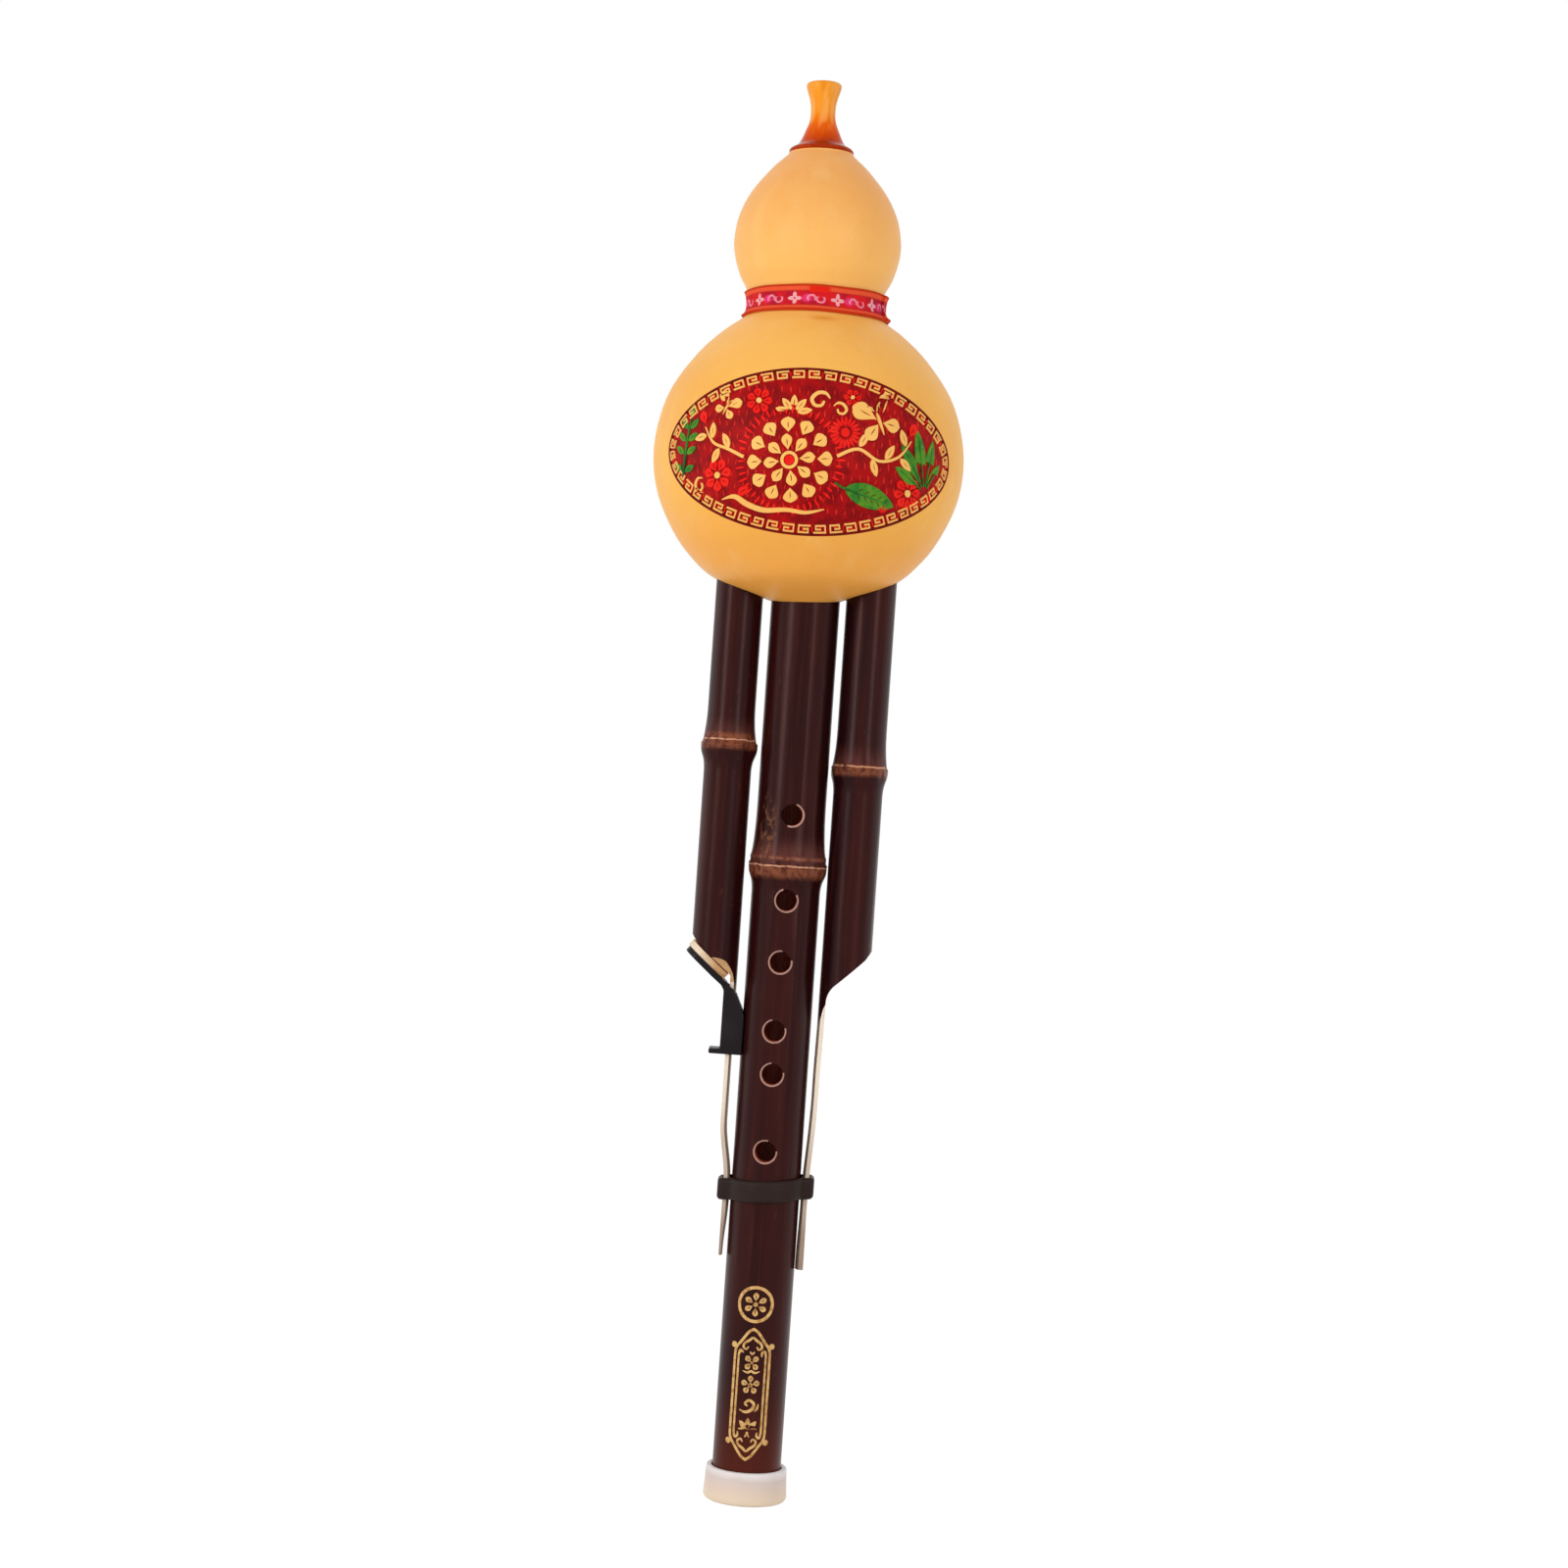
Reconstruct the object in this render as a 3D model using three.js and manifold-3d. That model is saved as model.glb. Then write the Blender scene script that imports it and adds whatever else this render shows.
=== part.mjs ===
// Hulusi: a gourd wind chest on a melody pipe, with a drone pipe, its slide key and a silent side pipe.
// Millimetres and degrees. +Z runs up the melody pipe and the finger holes face -Y.
// The origin is the middle of the foot cap's lower face.
import * as THREE from 'three';
import { mergeVertices } from 'three/addons/utils/BufferGeometryUtils.js';
import Module from 'manifold-3d';

const wasm = await Module();
wasm.setup();

// Clearances
const fit = 0.2;               // between pieces that seat on or in each other
const overrun = 1;             // how far a cutter runs past the face it cuts

// Gourd
const gourdBase = 285.6;       // height of the gourd's lowest point
const gourdHeight = 142.3;
const gourdWall = 3;
const gourdLean = 1.5;         // degrees, towards -X
const gourdShift = 1;          // how far its foot sits towards -X
const bellyRadius = 49.2;
const waistRadius = 20.9;
const bulbRadius = 26.5;
const neckRadius = 10.2;
const neckHoleRadius = 6.6;

// Mouthpiece
const mouthpieceHeight = 21.8;
const flangeRadius = 9.8;
const stemRadius = 3.95;
const lipRadius = 5.6;
const blowHoleRadius = 2.4;
const tenonRadius = 5;
const tenonLength = 14;
const waxSleeveLength = 9;

// Ribbon round the waist
const ribbonWidth = 9.1;
const ribbonThickness = 0.8;
const ribbonHeight = 94.1;     // its middle, above the gourd's lowest point
const ribbonLapAngle = 34;     // degrees that the ends overlap, at the right side

// Melody pipe
const melodyRadius = 10.9;
const melodyBoreRadius = 7;
const melodyInset = 62;        // how far it runs up inside the gourd
const melodyNodeDrop = 84.4;   // from the gourd's lowest point down to the node
const melodyNodeRise = 1.6;
const melodyFlareAbove = 19;
const melodyFlareBelow = 5.5;
const fingerHoleRadius = 3.3;
const fingerHoleBevel = 0.6;
const ventHoleRadius = 3;
const cordHoleRadius = 1.25;
const cordHoleSpacing = 9;

// Side pipes
const leftRadius = 7.55;
const leftBoreRadius = 5.35;
const leftNodeDrop = 47.3;
const leftNodeRise = 1.48;
const leftTipDrop = 108.8;     // from the gourd's lowest point down to the slant cut's outer tip
const leftCutAngle = 41;
const leftBend = 19;           // length over which the strip bends in to the melody pipe
const leftTail = 22.1;         // how far the strip runs on below the ring's middle
const rightRadius = 7.85;
const rightBoreRadius = 5.65;
const rightNodeDrop = 52.2;
const rightNodeRise = 1.18;
const rightTipDrop = 110.6;
const rightCutAngle = 43;
const rightCutFillet = 8;
const rightBend = 34;
const rightTail = 25.1;
const rightClearance = 0.35;   // between the right pipe and the melody pipe's node
const sideInset = 55;          // how far both run up inside the gourd
const sideFlareAbove = 12;
const sideFlareBelow = 5;
const septumThickness = 2;
const stripThickness = 1.75;
const stripHalfWidth = 3.5;
const stripStandoff = 0.45;    // between the strip and the melody pipe, inside the ring
const stripInset = 0.05;       // how far the strip's skin lies under the pipe's

// Retaining ring
const ringHeight = 6.8;
const ringBand = 1.6;
const ringEarWall = 2;
const ringEarHalfWidth = 5.4;
const ringTilt = 3.9;          // degrees, its right ear is the higher one
const ringEdge = 0.5;
const ringBendMargin = 1.75;   // straight strip above the ring

// Foot cap
const capHeight = 10.5;
const capWall = 1.65;
const capFlare = 0.5;
const capLip = 2;              // thickness of the floor ring that the pipe stands on
const capEdge = 1.4;

// Slide key and its pad
const keyClearance = 0.4;      // between the key and the melody pipe
const keyInnerWall = 1.95;
const keyOuterWall = 1.9;
const keySlotClearance = 0.3;
const keyHalfWidth = 5;
const keySleeveHeight = 19.3;
const keyLedgeReach = 3.5;
const keyLedgeThickness = 1.6;
const keyPlateThickness = 1.7;
const keyPlateOverhang = 0.4;
const keyEdge = 0.35;
const keyTravel = 14;          // down, from closed to open
const keyBendMargin = 3.4;     // straight strip left under the open key
const padThickness = 2;
const padGap = 0.3;            // between the pad and the slant cut, with the drone closed

// Reeds, inside the gourd
const reedHeight = 30;         // the middle of both reeds, above the gourd's lowest point
const melodyReed = { flatDepth: 1.45, length: 24, width: 8, slotLength: 14.6, slotWidth: 2.8 };
const leftReed = { flatDepth: 1.15, length: 18, width: 6, slotLength: 11, slotWidth: 2.2 };
const reedPlateThickness = 0.5;
const tongueThickness = 0.3;
const tongueClearance = 0.3;
const reedWaxLap = 1;          // how far the wax covers the plate's edge
const reedWaxThickness = 0.8;
const reedRecessMargin = 1;

// Plugs and seals, inside the gourd
const plugLength = 6;
const sealWall = 2.4;
const melodySealTop = 10;
const sideSealTop = 17;

// Outlines as shares: height over the gourd's height, radius over the lobe's own radius
const lowerLobeShares = [
  [0, 0], [0.004, 0.16], [0.0135, 0.31], [0.045, 0.583], [0.089, 0.74], [0.143, 0.856], [0.221, 0.961],
  [0.3, 1], [0.378, 0.979], [0.458, 0.902], [0.536, 0.746], [0.588, 0.592],
];
const waistShares = [[0.6255, 1.06], [0.656, 1], [0.69, 1.055]];
const upperLobeShares = [
  [0.72, 0.916], [0.761, 0.982], [0.799, 1], [0.851, 0.951], [0.904, 0.815], [0.956, 0.592],
];
const neckShares = [[1, 1]];
const outsideSteps = 2;         // outline points for each row above, on the gourd's outside
const insideSteps = 1;

// Height over the mouthpiece's height, radius over the flange, the stem or the lip
const flangeShares = [[0, 0.97], [0.012, 1], [0.035, 0.98], [0.11, 0.827], [0.205, 0.653], [0.305, 0.541]];
const stemShares = [[0.405, 1.114], [0.51, 1], [0.655, 1.015]];
const lipShares = [[0.76, 0.8], [0.87, 0.93], [0.945, 1], [0.985, 0.93], [1, 0.72]];

// A bamboo node: distance over the flare's length, rise over the full rise
const flareAboveShares = [[1, 0], [0.7, 0.07], [0.4, 0.27], [0.18, 0.56], [0.06, 0.74]];
const ridgeShares = [0.05, 0.16];
const stripWidenShare = 0.9;     // the strip's root over the widest that its wall allows
const capEdgeShare = 0.3;        // where the middle of the cap's rounded edge lies
const flareBelowShares = [[0.2, 0.74], [0.45, 0.3], [1, 0]];

// Finger holes: height over the gourd's base height, and degrees towards +X
const fingerHoleShares = [
  [0.7612, 2], [0.667, 2], [0.5987, -1.3], [0.5228, -3.8], [0.4751, -2.3], [0.3897, -5.3],
];
const thumbHoleShare = 0.802;
const ventHoleShare = 0.217;
const cordHoleShare = 0.175;

// Facets round a full turn, and steps along a strip
const gourdSides = 32;
const cavitySides = 24;
const pipeSides = 28;
const smallSides = 20;
const holeSides = 12;
const stripSteps = 16;

const degree = Math.PI / 180;
const halfTurn = 180;

// Sizes that follow from the ones above
const melodyNodeHeight = gourdBase - melodyNodeDrop;
const melodyTop = gourdBase + melodyInset;
const sideTop = gourdBase + sideInset;
const leftGap = keyClearance + keyInnerWall + keySlotClearance;
const rightGap = melodyNodeRise + rightClearance;
const leftOffset = melodyRadius + leftGap + leftRadius;
const rightOffset = melodyRadius + rightGap + rightRadius;
const stripRingFace = melodyRadius + stripStandoff + stripThickness;
const reedCentre = gourdBase + reedHeight;

// The slide key, from the left pipe's axis: +X is away from the melody pipe
const cutSine = Math.sin(leftCutAngle * degree);
const cutCosine = Math.cos(leftCutAngle * degree);
const cutHeight = gourdBase - leftTipDrop - leftRadius * Math.tan(leftCutAngle * degree);
const plateDepth = padGap + padThickness + fit;
const plateFoot = plateDepth + keyPlateThickness;
const keyInnerFace = leftOffset - melodyRadius - keyClearance;
const keyOuterFace = leftRadius - stripThickness - keySlotClearance - keyOuterWall;

// A point at a depth under the slant cut's plane and at a given X
function underCut(x, depth) {
  const along = (x - depth * cutSine) / cutCosine;
  return [x, cutHeight + along * cutSine - depth * cutCosine];
}

// The key's open position ends above the strip's bend, and the ring sits under the bend
const keyShoulder = underCut(-keyOuterFace, plateFoot)[1];
const keyLow = keyShoulder - keyPlateThickness - keySleeveHeight;
const bendLow = keyLow - keyTravel - keyBendMargin - leftBend;
const ringPlace = bendLow - ringBendMargin - ringHeight / 2;

// Materials, one for each finish
const finishes = {
  gourd: { color: '#f0b467', roughness: 0.42, metalness: 0 },
  amber: { color: '#e2842a', roughness: 0.25, metalness: 0 },
  bamboo: { color: '#35191a', roughness: 0.35, metalness: 0 },
  ribbon: { color: '#d8303a', roughness: 0.8, metalness: 0 },
  rubber: { color: '#28211f', roughness: 0.5, metalness: 0 },
  keyPlastic: { color: '#2a2628', roughness: 0.4, metalness: 0 },
  cork: { color: '#c39a75', roughness: 0.85, metalness: 0 },
  capPlastic: { color: '#e6d6c8', roughness: 0.4, metalness: 0 },
  brass: { color: '#b88a3c', roughness: 0.3, metalness: 1 },
  wax: { color: '#5a2a1c', roughness: 0.6, metalness: 0 },
};
const materials = {};
for (const [name, look] of Object.entries(finishes)) materials[name] = new THREE.MeshStandardMaterial(look);

// A closed geometry as a solid that can be joined and cut
function toSolid(geometry) {
  const bare = geometry.clone();
  bare.deleteAttribute('normal');
  bare.deleteAttribute('uv');
  const merged = mergeVertices(bare);
  const corners = merged.index.array;
  const triangles = [];
  for (let i = 0; i < corners.length; i += 3) {
    const [a, b, c] = corners.slice(i, i + 3);
    if (a !== b && b !== c && c !== a) triangles.push(a, b, c);
  }
  return new wasm.Manifold(new wasm.Mesh({
    numProp: 3,
    vertProperties: new Float32Array(merged.attributes.position.array),
    triVerts: new Uint32Array(triangles),
  }));
}

// The solid back as a geometry
function toGeometry(solid) {
  const { vertProperties, triVerts } = solid.getMesh();
  const geometry = new THREE.BufferGeometry();
  geometry.setAttribute('position', new THREE.BufferAttribute(vertProperties, 3));
  geometry.setIndex(new THREE.BufferAttribute(triVerts, 1));
  geometry.computeVertexNormals();
  return geometry;
}

// A solid of revolution about Z from [radius, height] pairs that run anticlockwise, outer side going up.
// The outline starts and ends on the axis, or closes on itself.
function turned(outline, sides) {
  const points = outline.map(([radius, height]) => new THREE.Vector2(radius, height));
  const open = points[0].x > 0 || points.at(-1).x > 0;
  if (open) points.push(points[0].clone());
  return new THREE.LatheGeometry(points, sides).rotateX(Math.PI / 2);
}

// A round bar along Z
function rod(radius, low, high, sides) {
  const length = high - low;
  return new THREE.CylinderGeometry(radius, radius, length, sides)
    .rotateX(Math.PI / 2)
    .translate(0, 0, low + length / 2);
}

// A box from its limits along X, Y and Z
function block([left, right], [front, back], [low, high]) {
  return new THREE.BoxGeometry(right - left, back - front, high - low)
    .translate((left + right) / 2, (front + back) / 2, (low + high) / 2);
}

// A plate that lies in XZ and is centred on Y, from a shape whose own Y is the height
function upright(shape, halfWidth, edge) {
  const options = { depth: (halfWidth - edge) * 2, bevelEnabled: edge > 0, curveSegments: 8 };
  if (edge > 0) {
    Object.assign(options, { bevelThickness: edge, bevelSize: edge, bevelOffset: -edge, bevelSegments: 2 });
  }
  return new THREE.ExtrudeGeometry(shape, options)
    .rotateX(Math.PI / 2)
    .translate(0, halfWidth - edge, 0);
}

function outlineShape(points) {
  return new THREE.Shape(points.map(([x, y]) => new THREE.Vector2(x, y)));
}

// Moves each corner of a geometry by a rule
function reshape(geometry, rule) {
  const { position } = geometry.attributes;
  const corner = new THREE.Vector3();
  for (let i = 0; i < position.count; i += 1) {
    rule(corner.fromBufferAttribute(position, i));
    position.setXYZ(i, corner.x, corner.y, corner.z);
  }
  return geometry;
}

function addMesh(group, name, geometry, finish) {
  const mesh = new THREE.Mesh(geometry, materials[finish]);
  mesh.name = name;
  group.add(mesh);
  return mesh;
}

// The gourd's outer outline, from its lowest point on the axis up to the rim of its neck
function gourdOutline(steps) {
  const rows = [
    ...lowerLobeShares.map(([height, radius]) => [radius * bellyRadius, height * gourdHeight]),
    ...waistShares.map(([height, radius]) => [radius * waistRadius, height * gourdHeight]),
    ...upperLobeShares.map(([height, radius]) => [radius * bulbRadius, height * gourdHeight]),
    ...neckShares.map(([height, radius]) => [radius * neckRadius, height * gourdHeight]),
  ];
  const curve = new THREE.SplineCurve(rows.map(([radius, height]) => new THREE.Vector2(radius, height)));
  return curve.getPoints((rows.length - 1) * steps);
}

// The same outline moved inwards along its own normals
function insetOutline(depth, steps) {
  const points = gourdOutline(steps);
  const moved = points.map((point, i) => {
    const before = points[Math.max(i - 1, 0)];
    const after = points[Math.min(i + 1, points.length - 1)];
    const along = after.clone().sub(before).normalize();
    return [point.x - along.y * depth, point.y + along.x * depth];
  });
  moved[0][0] = 0;
  return moved.filter(([radius], i) => i === 0 || radius > moved[1][0] / 2);
}

// A solid bounded by the gourd's outline, moved inwards by a depth
function gourdBody(depth, steps, sides) {
  const outline = insetOutline(depth, steps);
  const top = outline.at(-1)[1];
  return toSolid(turned([...outline, [0, top]], sides));
}

function gourdRadiusAt(height) {
  const points = gourdOutline(outsideSteps);
  const next = points.findIndex((point) => point.y >= height);
  const share = (height - points[next - 1].y) / (points[next].y - points[next - 1].y);
  return points[next - 1].x + (points[next].x - points[next - 1].x) * share;
}

// The gourd's group stands on the pipes and leans a little; pipes cut it in the part's own frame
const gourdGroup = new THREE.Group();
gourdGroup.position.set(-gourdShift, 0, gourdBase);
gourdGroup.rotation.y = -gourdLean * degree;
gourdGroup.updateMatrixWorld();
const intoGourd = gourdGroup.matrixWorld.clone().invert();

const pipePlaces = [
  { x: 0, radius: melodyRadius, sealTop: melodySealTop },
  { x: -leftOffset, radius: leftRadius, sealTop: sideSealTop },
  { x: rightOffset, radius: rightRadius, sealTop: sideSealTop },
];

function makeGourdShell() {
  const neckHole = rod(neckHoleRadius, gourdHeight - gourdWall * 2, gourdHeight + overrun, smallSides);
  const cavity = gourdBody(gourdWall, insideSteps, cavitySides);
  let shell = gourdBody(0, outsideSteps, gourdSides).subtract(cavity).subtract(toSolid(neckHole));
  for (const { x, radius } of pipePlaces) {
    const hole = rod(radius + fit, gourdBase - overrun, gourdBase + sideSealTop, pipeSides);
    shell = shell.subtract(toSolid(hole.translate(x, 0, 0).applyMatrix4(intoGourd)));
  }
  return toGeometry(shell);
}

// The wax poured round all three pipes, against the inside of the gourd
function makePipeSeal() {
  const cavity = gourdBody(gourdWall + fit, insideSteps, cavitySides);
  let collars = null;
  let bores = null;
  for (const { x, radius, sealTop } of pipePlaces) {
    const outer = radius + sealWall;
    const top = gourdBase + sealTop;
    const collar = toSolid(turned([
      [0, gourdBase], [outer, gourdBase], [outer, top - sealWall / 2],
      [radius + sealWall / 2, top], [0, top],
    ], smallSides).translate(x, 0, 0).applyMatrix4(intoGourd));
    const bore = toSolid(rod(radius + fit, gourdBase - overrun, sideTop, pipeSides)
      .translate(x, 0, 0).applyMatrix4(intoGourd));
    collars = collars ? collars.add(collar) : collar;
    bores = bores ? bores.add(bore) : bore;
  }
  return toGeometry(cavity.intersect(collars).subtract(bores));
}

function makeMouthpiece() {
  const foot = gourdHeight + fit;
  const rows = [[flangeShares, flangeRadius], [stemShares, stemRadius], [lipShares, lipRadius]];
  const outside = rows.flatMap(([shares, radius]) => shares.map(
    ([height, share]) => [share * radius, foot + height * mouthpieceHeight],
  ));
  const top = foot + mouthpieceHeight;
  const tenonFoot = foot - tenonLength;
  return turned([
    [blowHoleRadius, tenonFoot], [tenonRadius, tenonFoot], [tenonRadius, foot],
    ...outside,
    [blowHoleRadius, top],
  ], smallSides);
}

function makeMouthpieceSeal() {
  const top = gourdHeight;
  const low = top - waxSleeveLength;
  const inner = tenonRadius + fit;
  const outer = neckHoleRadius - fit;
  return turned([[inner, low], [outer, low], [outer, top], [inner, top]], smallSides);
}

// A ring that follows the waist, raised by a distance, with the given thickness
function waistRing(raise, thickness) {
  const low = ribbonHeight - ribbonWidth / 2;
  const rows = 5;
  const outer = [];
  for (let i = 0; i < rows; i += 1) {
    const height = low + (ribbonWidth * i) / (rows - 1);
    outer.push([gourdRadiusAt(height) + raise + thickness, height]);
  }
  const inner = outer.map(([radius, height]) => [radius - thickness, height]).reverse();
  return turned([...outer, ...inner], gourdSides);
}

function makeWaistRibbon() {
  const band = toSolid(waistRing(fit, ribbonThickness));
  const reach = bulbRadius + overrun;
  const swing = ribbonLapAngle / 2 * degree;
  const wedge = outlineShape([
    [0, 0],
    [reach * Math.cos(swing), -reach * Math.sin(swing)],
    [reach / Math.cos(swing), 0],
    [reach * Math.cos(swing), reach * Math.sin(swing)],
  ]);
  const cutter = new THREE.ExtrudeGeometry(wedge, { depth: ribbonWidth * 2, bevelEnabled: false })
    .translate(0, 0, ribbonHeight - ribbonWidth);
  const lap = toSolid(waistRing(fit, ribbonThickness * 2)).intersect(toSolid(cutter));
  return toGeometry(band.add(lap));
}

// A bamboo culm with one node, solid, from [radius, height] rows
function culm({ radius, low, high, node, rise, flareAbove, flareBelow }) {
  const flare = (shares, length) => shares.map(
    ([distance, share]) => [radius + rise * share, node + distance * length],
  );
  const [crest, groove] = ridgeShares;
  return turned([
    [0, low], [radius, low],
    ...flare(flareBelowShares, -flareBelow).reverse(),
    [radius + rise, node - groove * flareBelow],
    [radius + rise, node + crest * flareBelow],
    ...flare(flareAboveShares, flareAbove).reverse(),
    [radius, high], [0, high],
  ], pipeSides);
}

// A hole through the wall at one side, with a bevelled rim. Degrees turn it from -Y towards +X.
function sideHole(radius, height, turn, bevel) {
  const bore = new THREE.CylinderGeometry(radius, radius, melodyRadius + overrun, holeSides)
    .translate(0, (melodyRadius + overrun) / 2, 0);
  let cutter = toSolid(bore);
  if (bevel > 0) {
    const rim = new THREE.CylinderGeometry(radius + bevel, radius, bevel, holeSides)
      .translate(0, melodyRadius - bevel / 2 + fit, 0);
    const mouth = new THREE.CylinderGeometry(radius + bevel, radius + bevel, overrun, holeSides)
      .translate(0, melodyRadius + fit + overrun / 2, 0);
    cutter = cutter.add(toSolid(rim)).add(toSolid(mouth));
  }
  return cutter.rotate([0, 0, halfTurn + turn]).translate([0, 0, height]);
}

// The flat and the window that a reed needs in the back of a pipe
function reedSeat(reed, radius, side) {
  const flat = radius - reed.flatDepth;
  const faceSpan = [flat * side, (radius + overrun) * side].sort((a, b) => a - b);
  const wallSpan = [0, (radius + overrun) * side].sort((a, b) => a - b);
  const recess = reed.length / 2 + reedRecessMargin;
  const windowHalfLength = reed.slotLength / 2 + reedWaxLap;
  const windowHalfWidth = reed.slotWidth / 2 + reedWaxLap;
  const face = block([-radius, radius], faceSpan, [reedCentre - recess, reedCentre + recess]);
  const window = block(
    [-windowHalfWidth, windowHalfWidth],
    wallSpan,
    [reedCentre - windowHalfLength, reedCentre + windowHalfLength],
  );
  return toSolid(face).add(toSolid(window));
}

function makeMelodyPipe() {
  const low = capLip + fit;
  let pipe = toSolid(culm({
    radius: melodyRadius,
    low,
    high: melodyTop,
    node: melodyNodeHeight,
    rise: melodyNodeRise,
    flareAbove: melodyFlareAbove,
    flareBelow: melodyFlareBelow,
  }));
  pipe = pipe.subtract(toSolid(rod(melodyBoreRadius, low - overrun, melodyTop + overrun, pipeSides)));
  for (const [share, turn] of fingerHoleShares) {
    pipe = pipe.subtract(sideHole(fingerHoleRadius, share * gourdBase, turn, fingerHoleBevel));
  }
  pipe = pipe.subtract(sideHole(fingerHoleRadius, thumbHoleShare * gourdBase, halfTurn, fingerHoleBevel));
  pipe = pipe.subtract(sideHole(ventHoleRadius, ventHoleShare * gourdBase, halfTurn, 0));
  const cordTurn = Math.asin((cordHoleSpacing / 2) / melodyRadius) / degree;
  for (const turn of [halfTurn - cordTurn, halfTurn + cordTurn]) {
    pipe = pipe.subtract(sideHole(cordHoleRadius, cordHoleShare * gourdBase, turn, 0));
  }
  return toGeometry(pipe.subtract(reedSeat(melodyReed, melodyRadius, 1)));
}

// The strip left standing at a side pipe's inner wall. +X is away from the melody pipe here.
function sideStrip({ radius, bend, tail, gap, widenLow, widenHigh, high }) {
  const low = ringPlace - tail;
  const face = stripThickness - radius;
  const wall = radius - stripInset;
  const swing = Math.asin(stripHalfWidth / wall);
  const outline = new THREE.Shape();
  outline.moveTo(face, -stripHalfWidth);
  outline.lineTo(face, stripHalfWidth);
  outline.absarc(0, 0, wall, Math.PI - swing, Math.PI + swing, false);
  const strip = new THREE.ExtrudeGeometry(outline, {
    depth: high - low, steps: stripSteps, bevelEnabled: false, curveSegments: 4,
  }).translate(0, 0, low);
  const wideShare = stripWidenShare * Math.sqrt(radius ** 2 - face ** 2) / stripHalfWidth;
  return reshape(strip, (corner) => {
    const widen = THREE.MathUtils.smoothstep(corner.z, widenLow, widenHigh);
    const settled = 1 - THREE.MathUtils.smoothstep(corner.z, bendLow, bendLow + bend);
    const onSkin = Math.hypot(corner.x, corner.y) > wall - stripInset;
    corner.y *= 1 + (wideShare - 1) * widen;
    if (onSkin) corner.x = -Math.sqrt(wall ** 2 - corner.y ** 2);
    corner.x -= (gap - stripStandoff) * settled;
  });
}

// A side pipe with its slant-cut mouth and its strip. +X is away from the melody pipe here.
function sidePipe(pipe) {
  const { radius, tipDrop, cutAngle, fillet, nodeDrop, rise } = pipe;
  const slope = Math.tan(cutAngle * degree);
  const tip = gourdBase - tipDrop;
  const face = stripThickness - radius;
  const heel = tip - (radius - face) * slope;
  const low = heel - fillet - overrun;
  const reach = radius + rise + overrun;
  const floor = tip - (radius + reach) * slope - fillet - overrun;
  const body = toSolid(culm({
    radius,
    low,
    high: sideTop,
    node: gourdBase - nodeDrop,
    rise,
    flareAbove: sideFlareAbove,
    flareBelow: sideFlareBelow,
  }));

  // Everything under the slant cut goes, with a hollow curve down to the strip's face for a fillet
  const cut = new THREE.Shape();
  const sweep = Math.PI / 2 - cutAngle * degree;
  const tangent = fillet * Math.tan(sweep / 2);
  cut.moveTo(reach, floor);
  cut.lineTo(reach, tip + (reach - radius) * slope);
  if (fillet > 0) {
    const centre = [face + fillet, heel - tangent];
    cut.lineTo(face + tangent * Math.cos(cutAngle * degree), heel + tangent * Math.sin(cutAngle * degree));
    cut.absarc(centre[0], centre[1], fillet, Math.PI - sweep, Math.PI, false);
    cut.lineTo(face, floor);
  } else {
    cut.lineTo(-reach, tip - (radius + reach) * slope);
    cut.lineTo(-reach, floor);
  }
  return { body: body.subtract(toSolid(upright(cut, reach, 0))), heel, low, tangent, reach };
}

function makeLeftPipe() {
  const pipe = {
    radius: leftRadius,
    tipDrop: leftTipDrop,
    cutAngle: leftCutAngle,
    fillet: 0,
    nodeDrop: leftNodeDrop,
    rise: leftNodeRise,
  };
  const { body, heel } = sidePipe(pipe);
  const strip = sideStrip({
    radius: leftRadius,
    bend: leftBend,
    tail: leftTail,
    gap: leftGap,
    widenLow: heel - stripThickness,
    widenHigh: heel + stripThickness,
    high: heel + stripHalfWidth,
  });
  const bore = rod(leftBoreRadius, heel - leftRadius, sideTop + overrun, pipeSides);
  const mouth = block(
    [stripThickness - leftRadius, leftRadius],
    [-leftRadius, leftRadius],
    [heel - leftRadius, heel],
  );
  const hollow = body.subtract(toSolid(bore)).add(toSolid(strip));
  return toGeometry(hollow.subtract(toSolid(mouth)).subtract(reedSeat(leftReed, leftRadius, -1)));
}

function makeRightPipe() {
  const pipe = {
    radius: rightRadius,
    tipDrop: rightTipDrop,
    cutAngle: rightCutAngle,
    fillet: rightCutFillet,
    nodeDrop: rightNodeDrop,
    rise: rightNodeRise,
  };
  const { body, heel, low, tangent, reach } = sidePipe(pipe);
  const strip = sideStrip({
    radius: rightRadius,
    bend: rightBend,
    tail: rightTail,
    gap: rightGap,
    widenLow: heel - tangent - rightCutFillet,
    widenHigh: heel - tangent,
    high: heel + stripHalfWidth,
  });
  const node = gourdBase - rightNodeDrop;
  const lowerBore = rod(rightBoreRadius, low - overrun, node - septumThickness / 2, pipeSides);
  const upperBore = rod(rightBoreRadius, node + septumThickness / 2, sideTop + overrun, pipeSides);
  const under = block([-reach, reach], [-reach, reach], [low - overrun, heel - tangent]);
  const trimmed = body.subtract(toSolid(lowerBore)).subtract(toSolid(upperBore)).subtract(toSolid(under));
  return toGeometry(trimmed.add(toSolid(strip)));
}

function makePlug(boreRadius, top) {
  const radius = boreRadius - fit;
  return turned([[0, top - plugLength], [radius, top - plugLength], [radius, top], [0, top]], smallSides);
}

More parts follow.
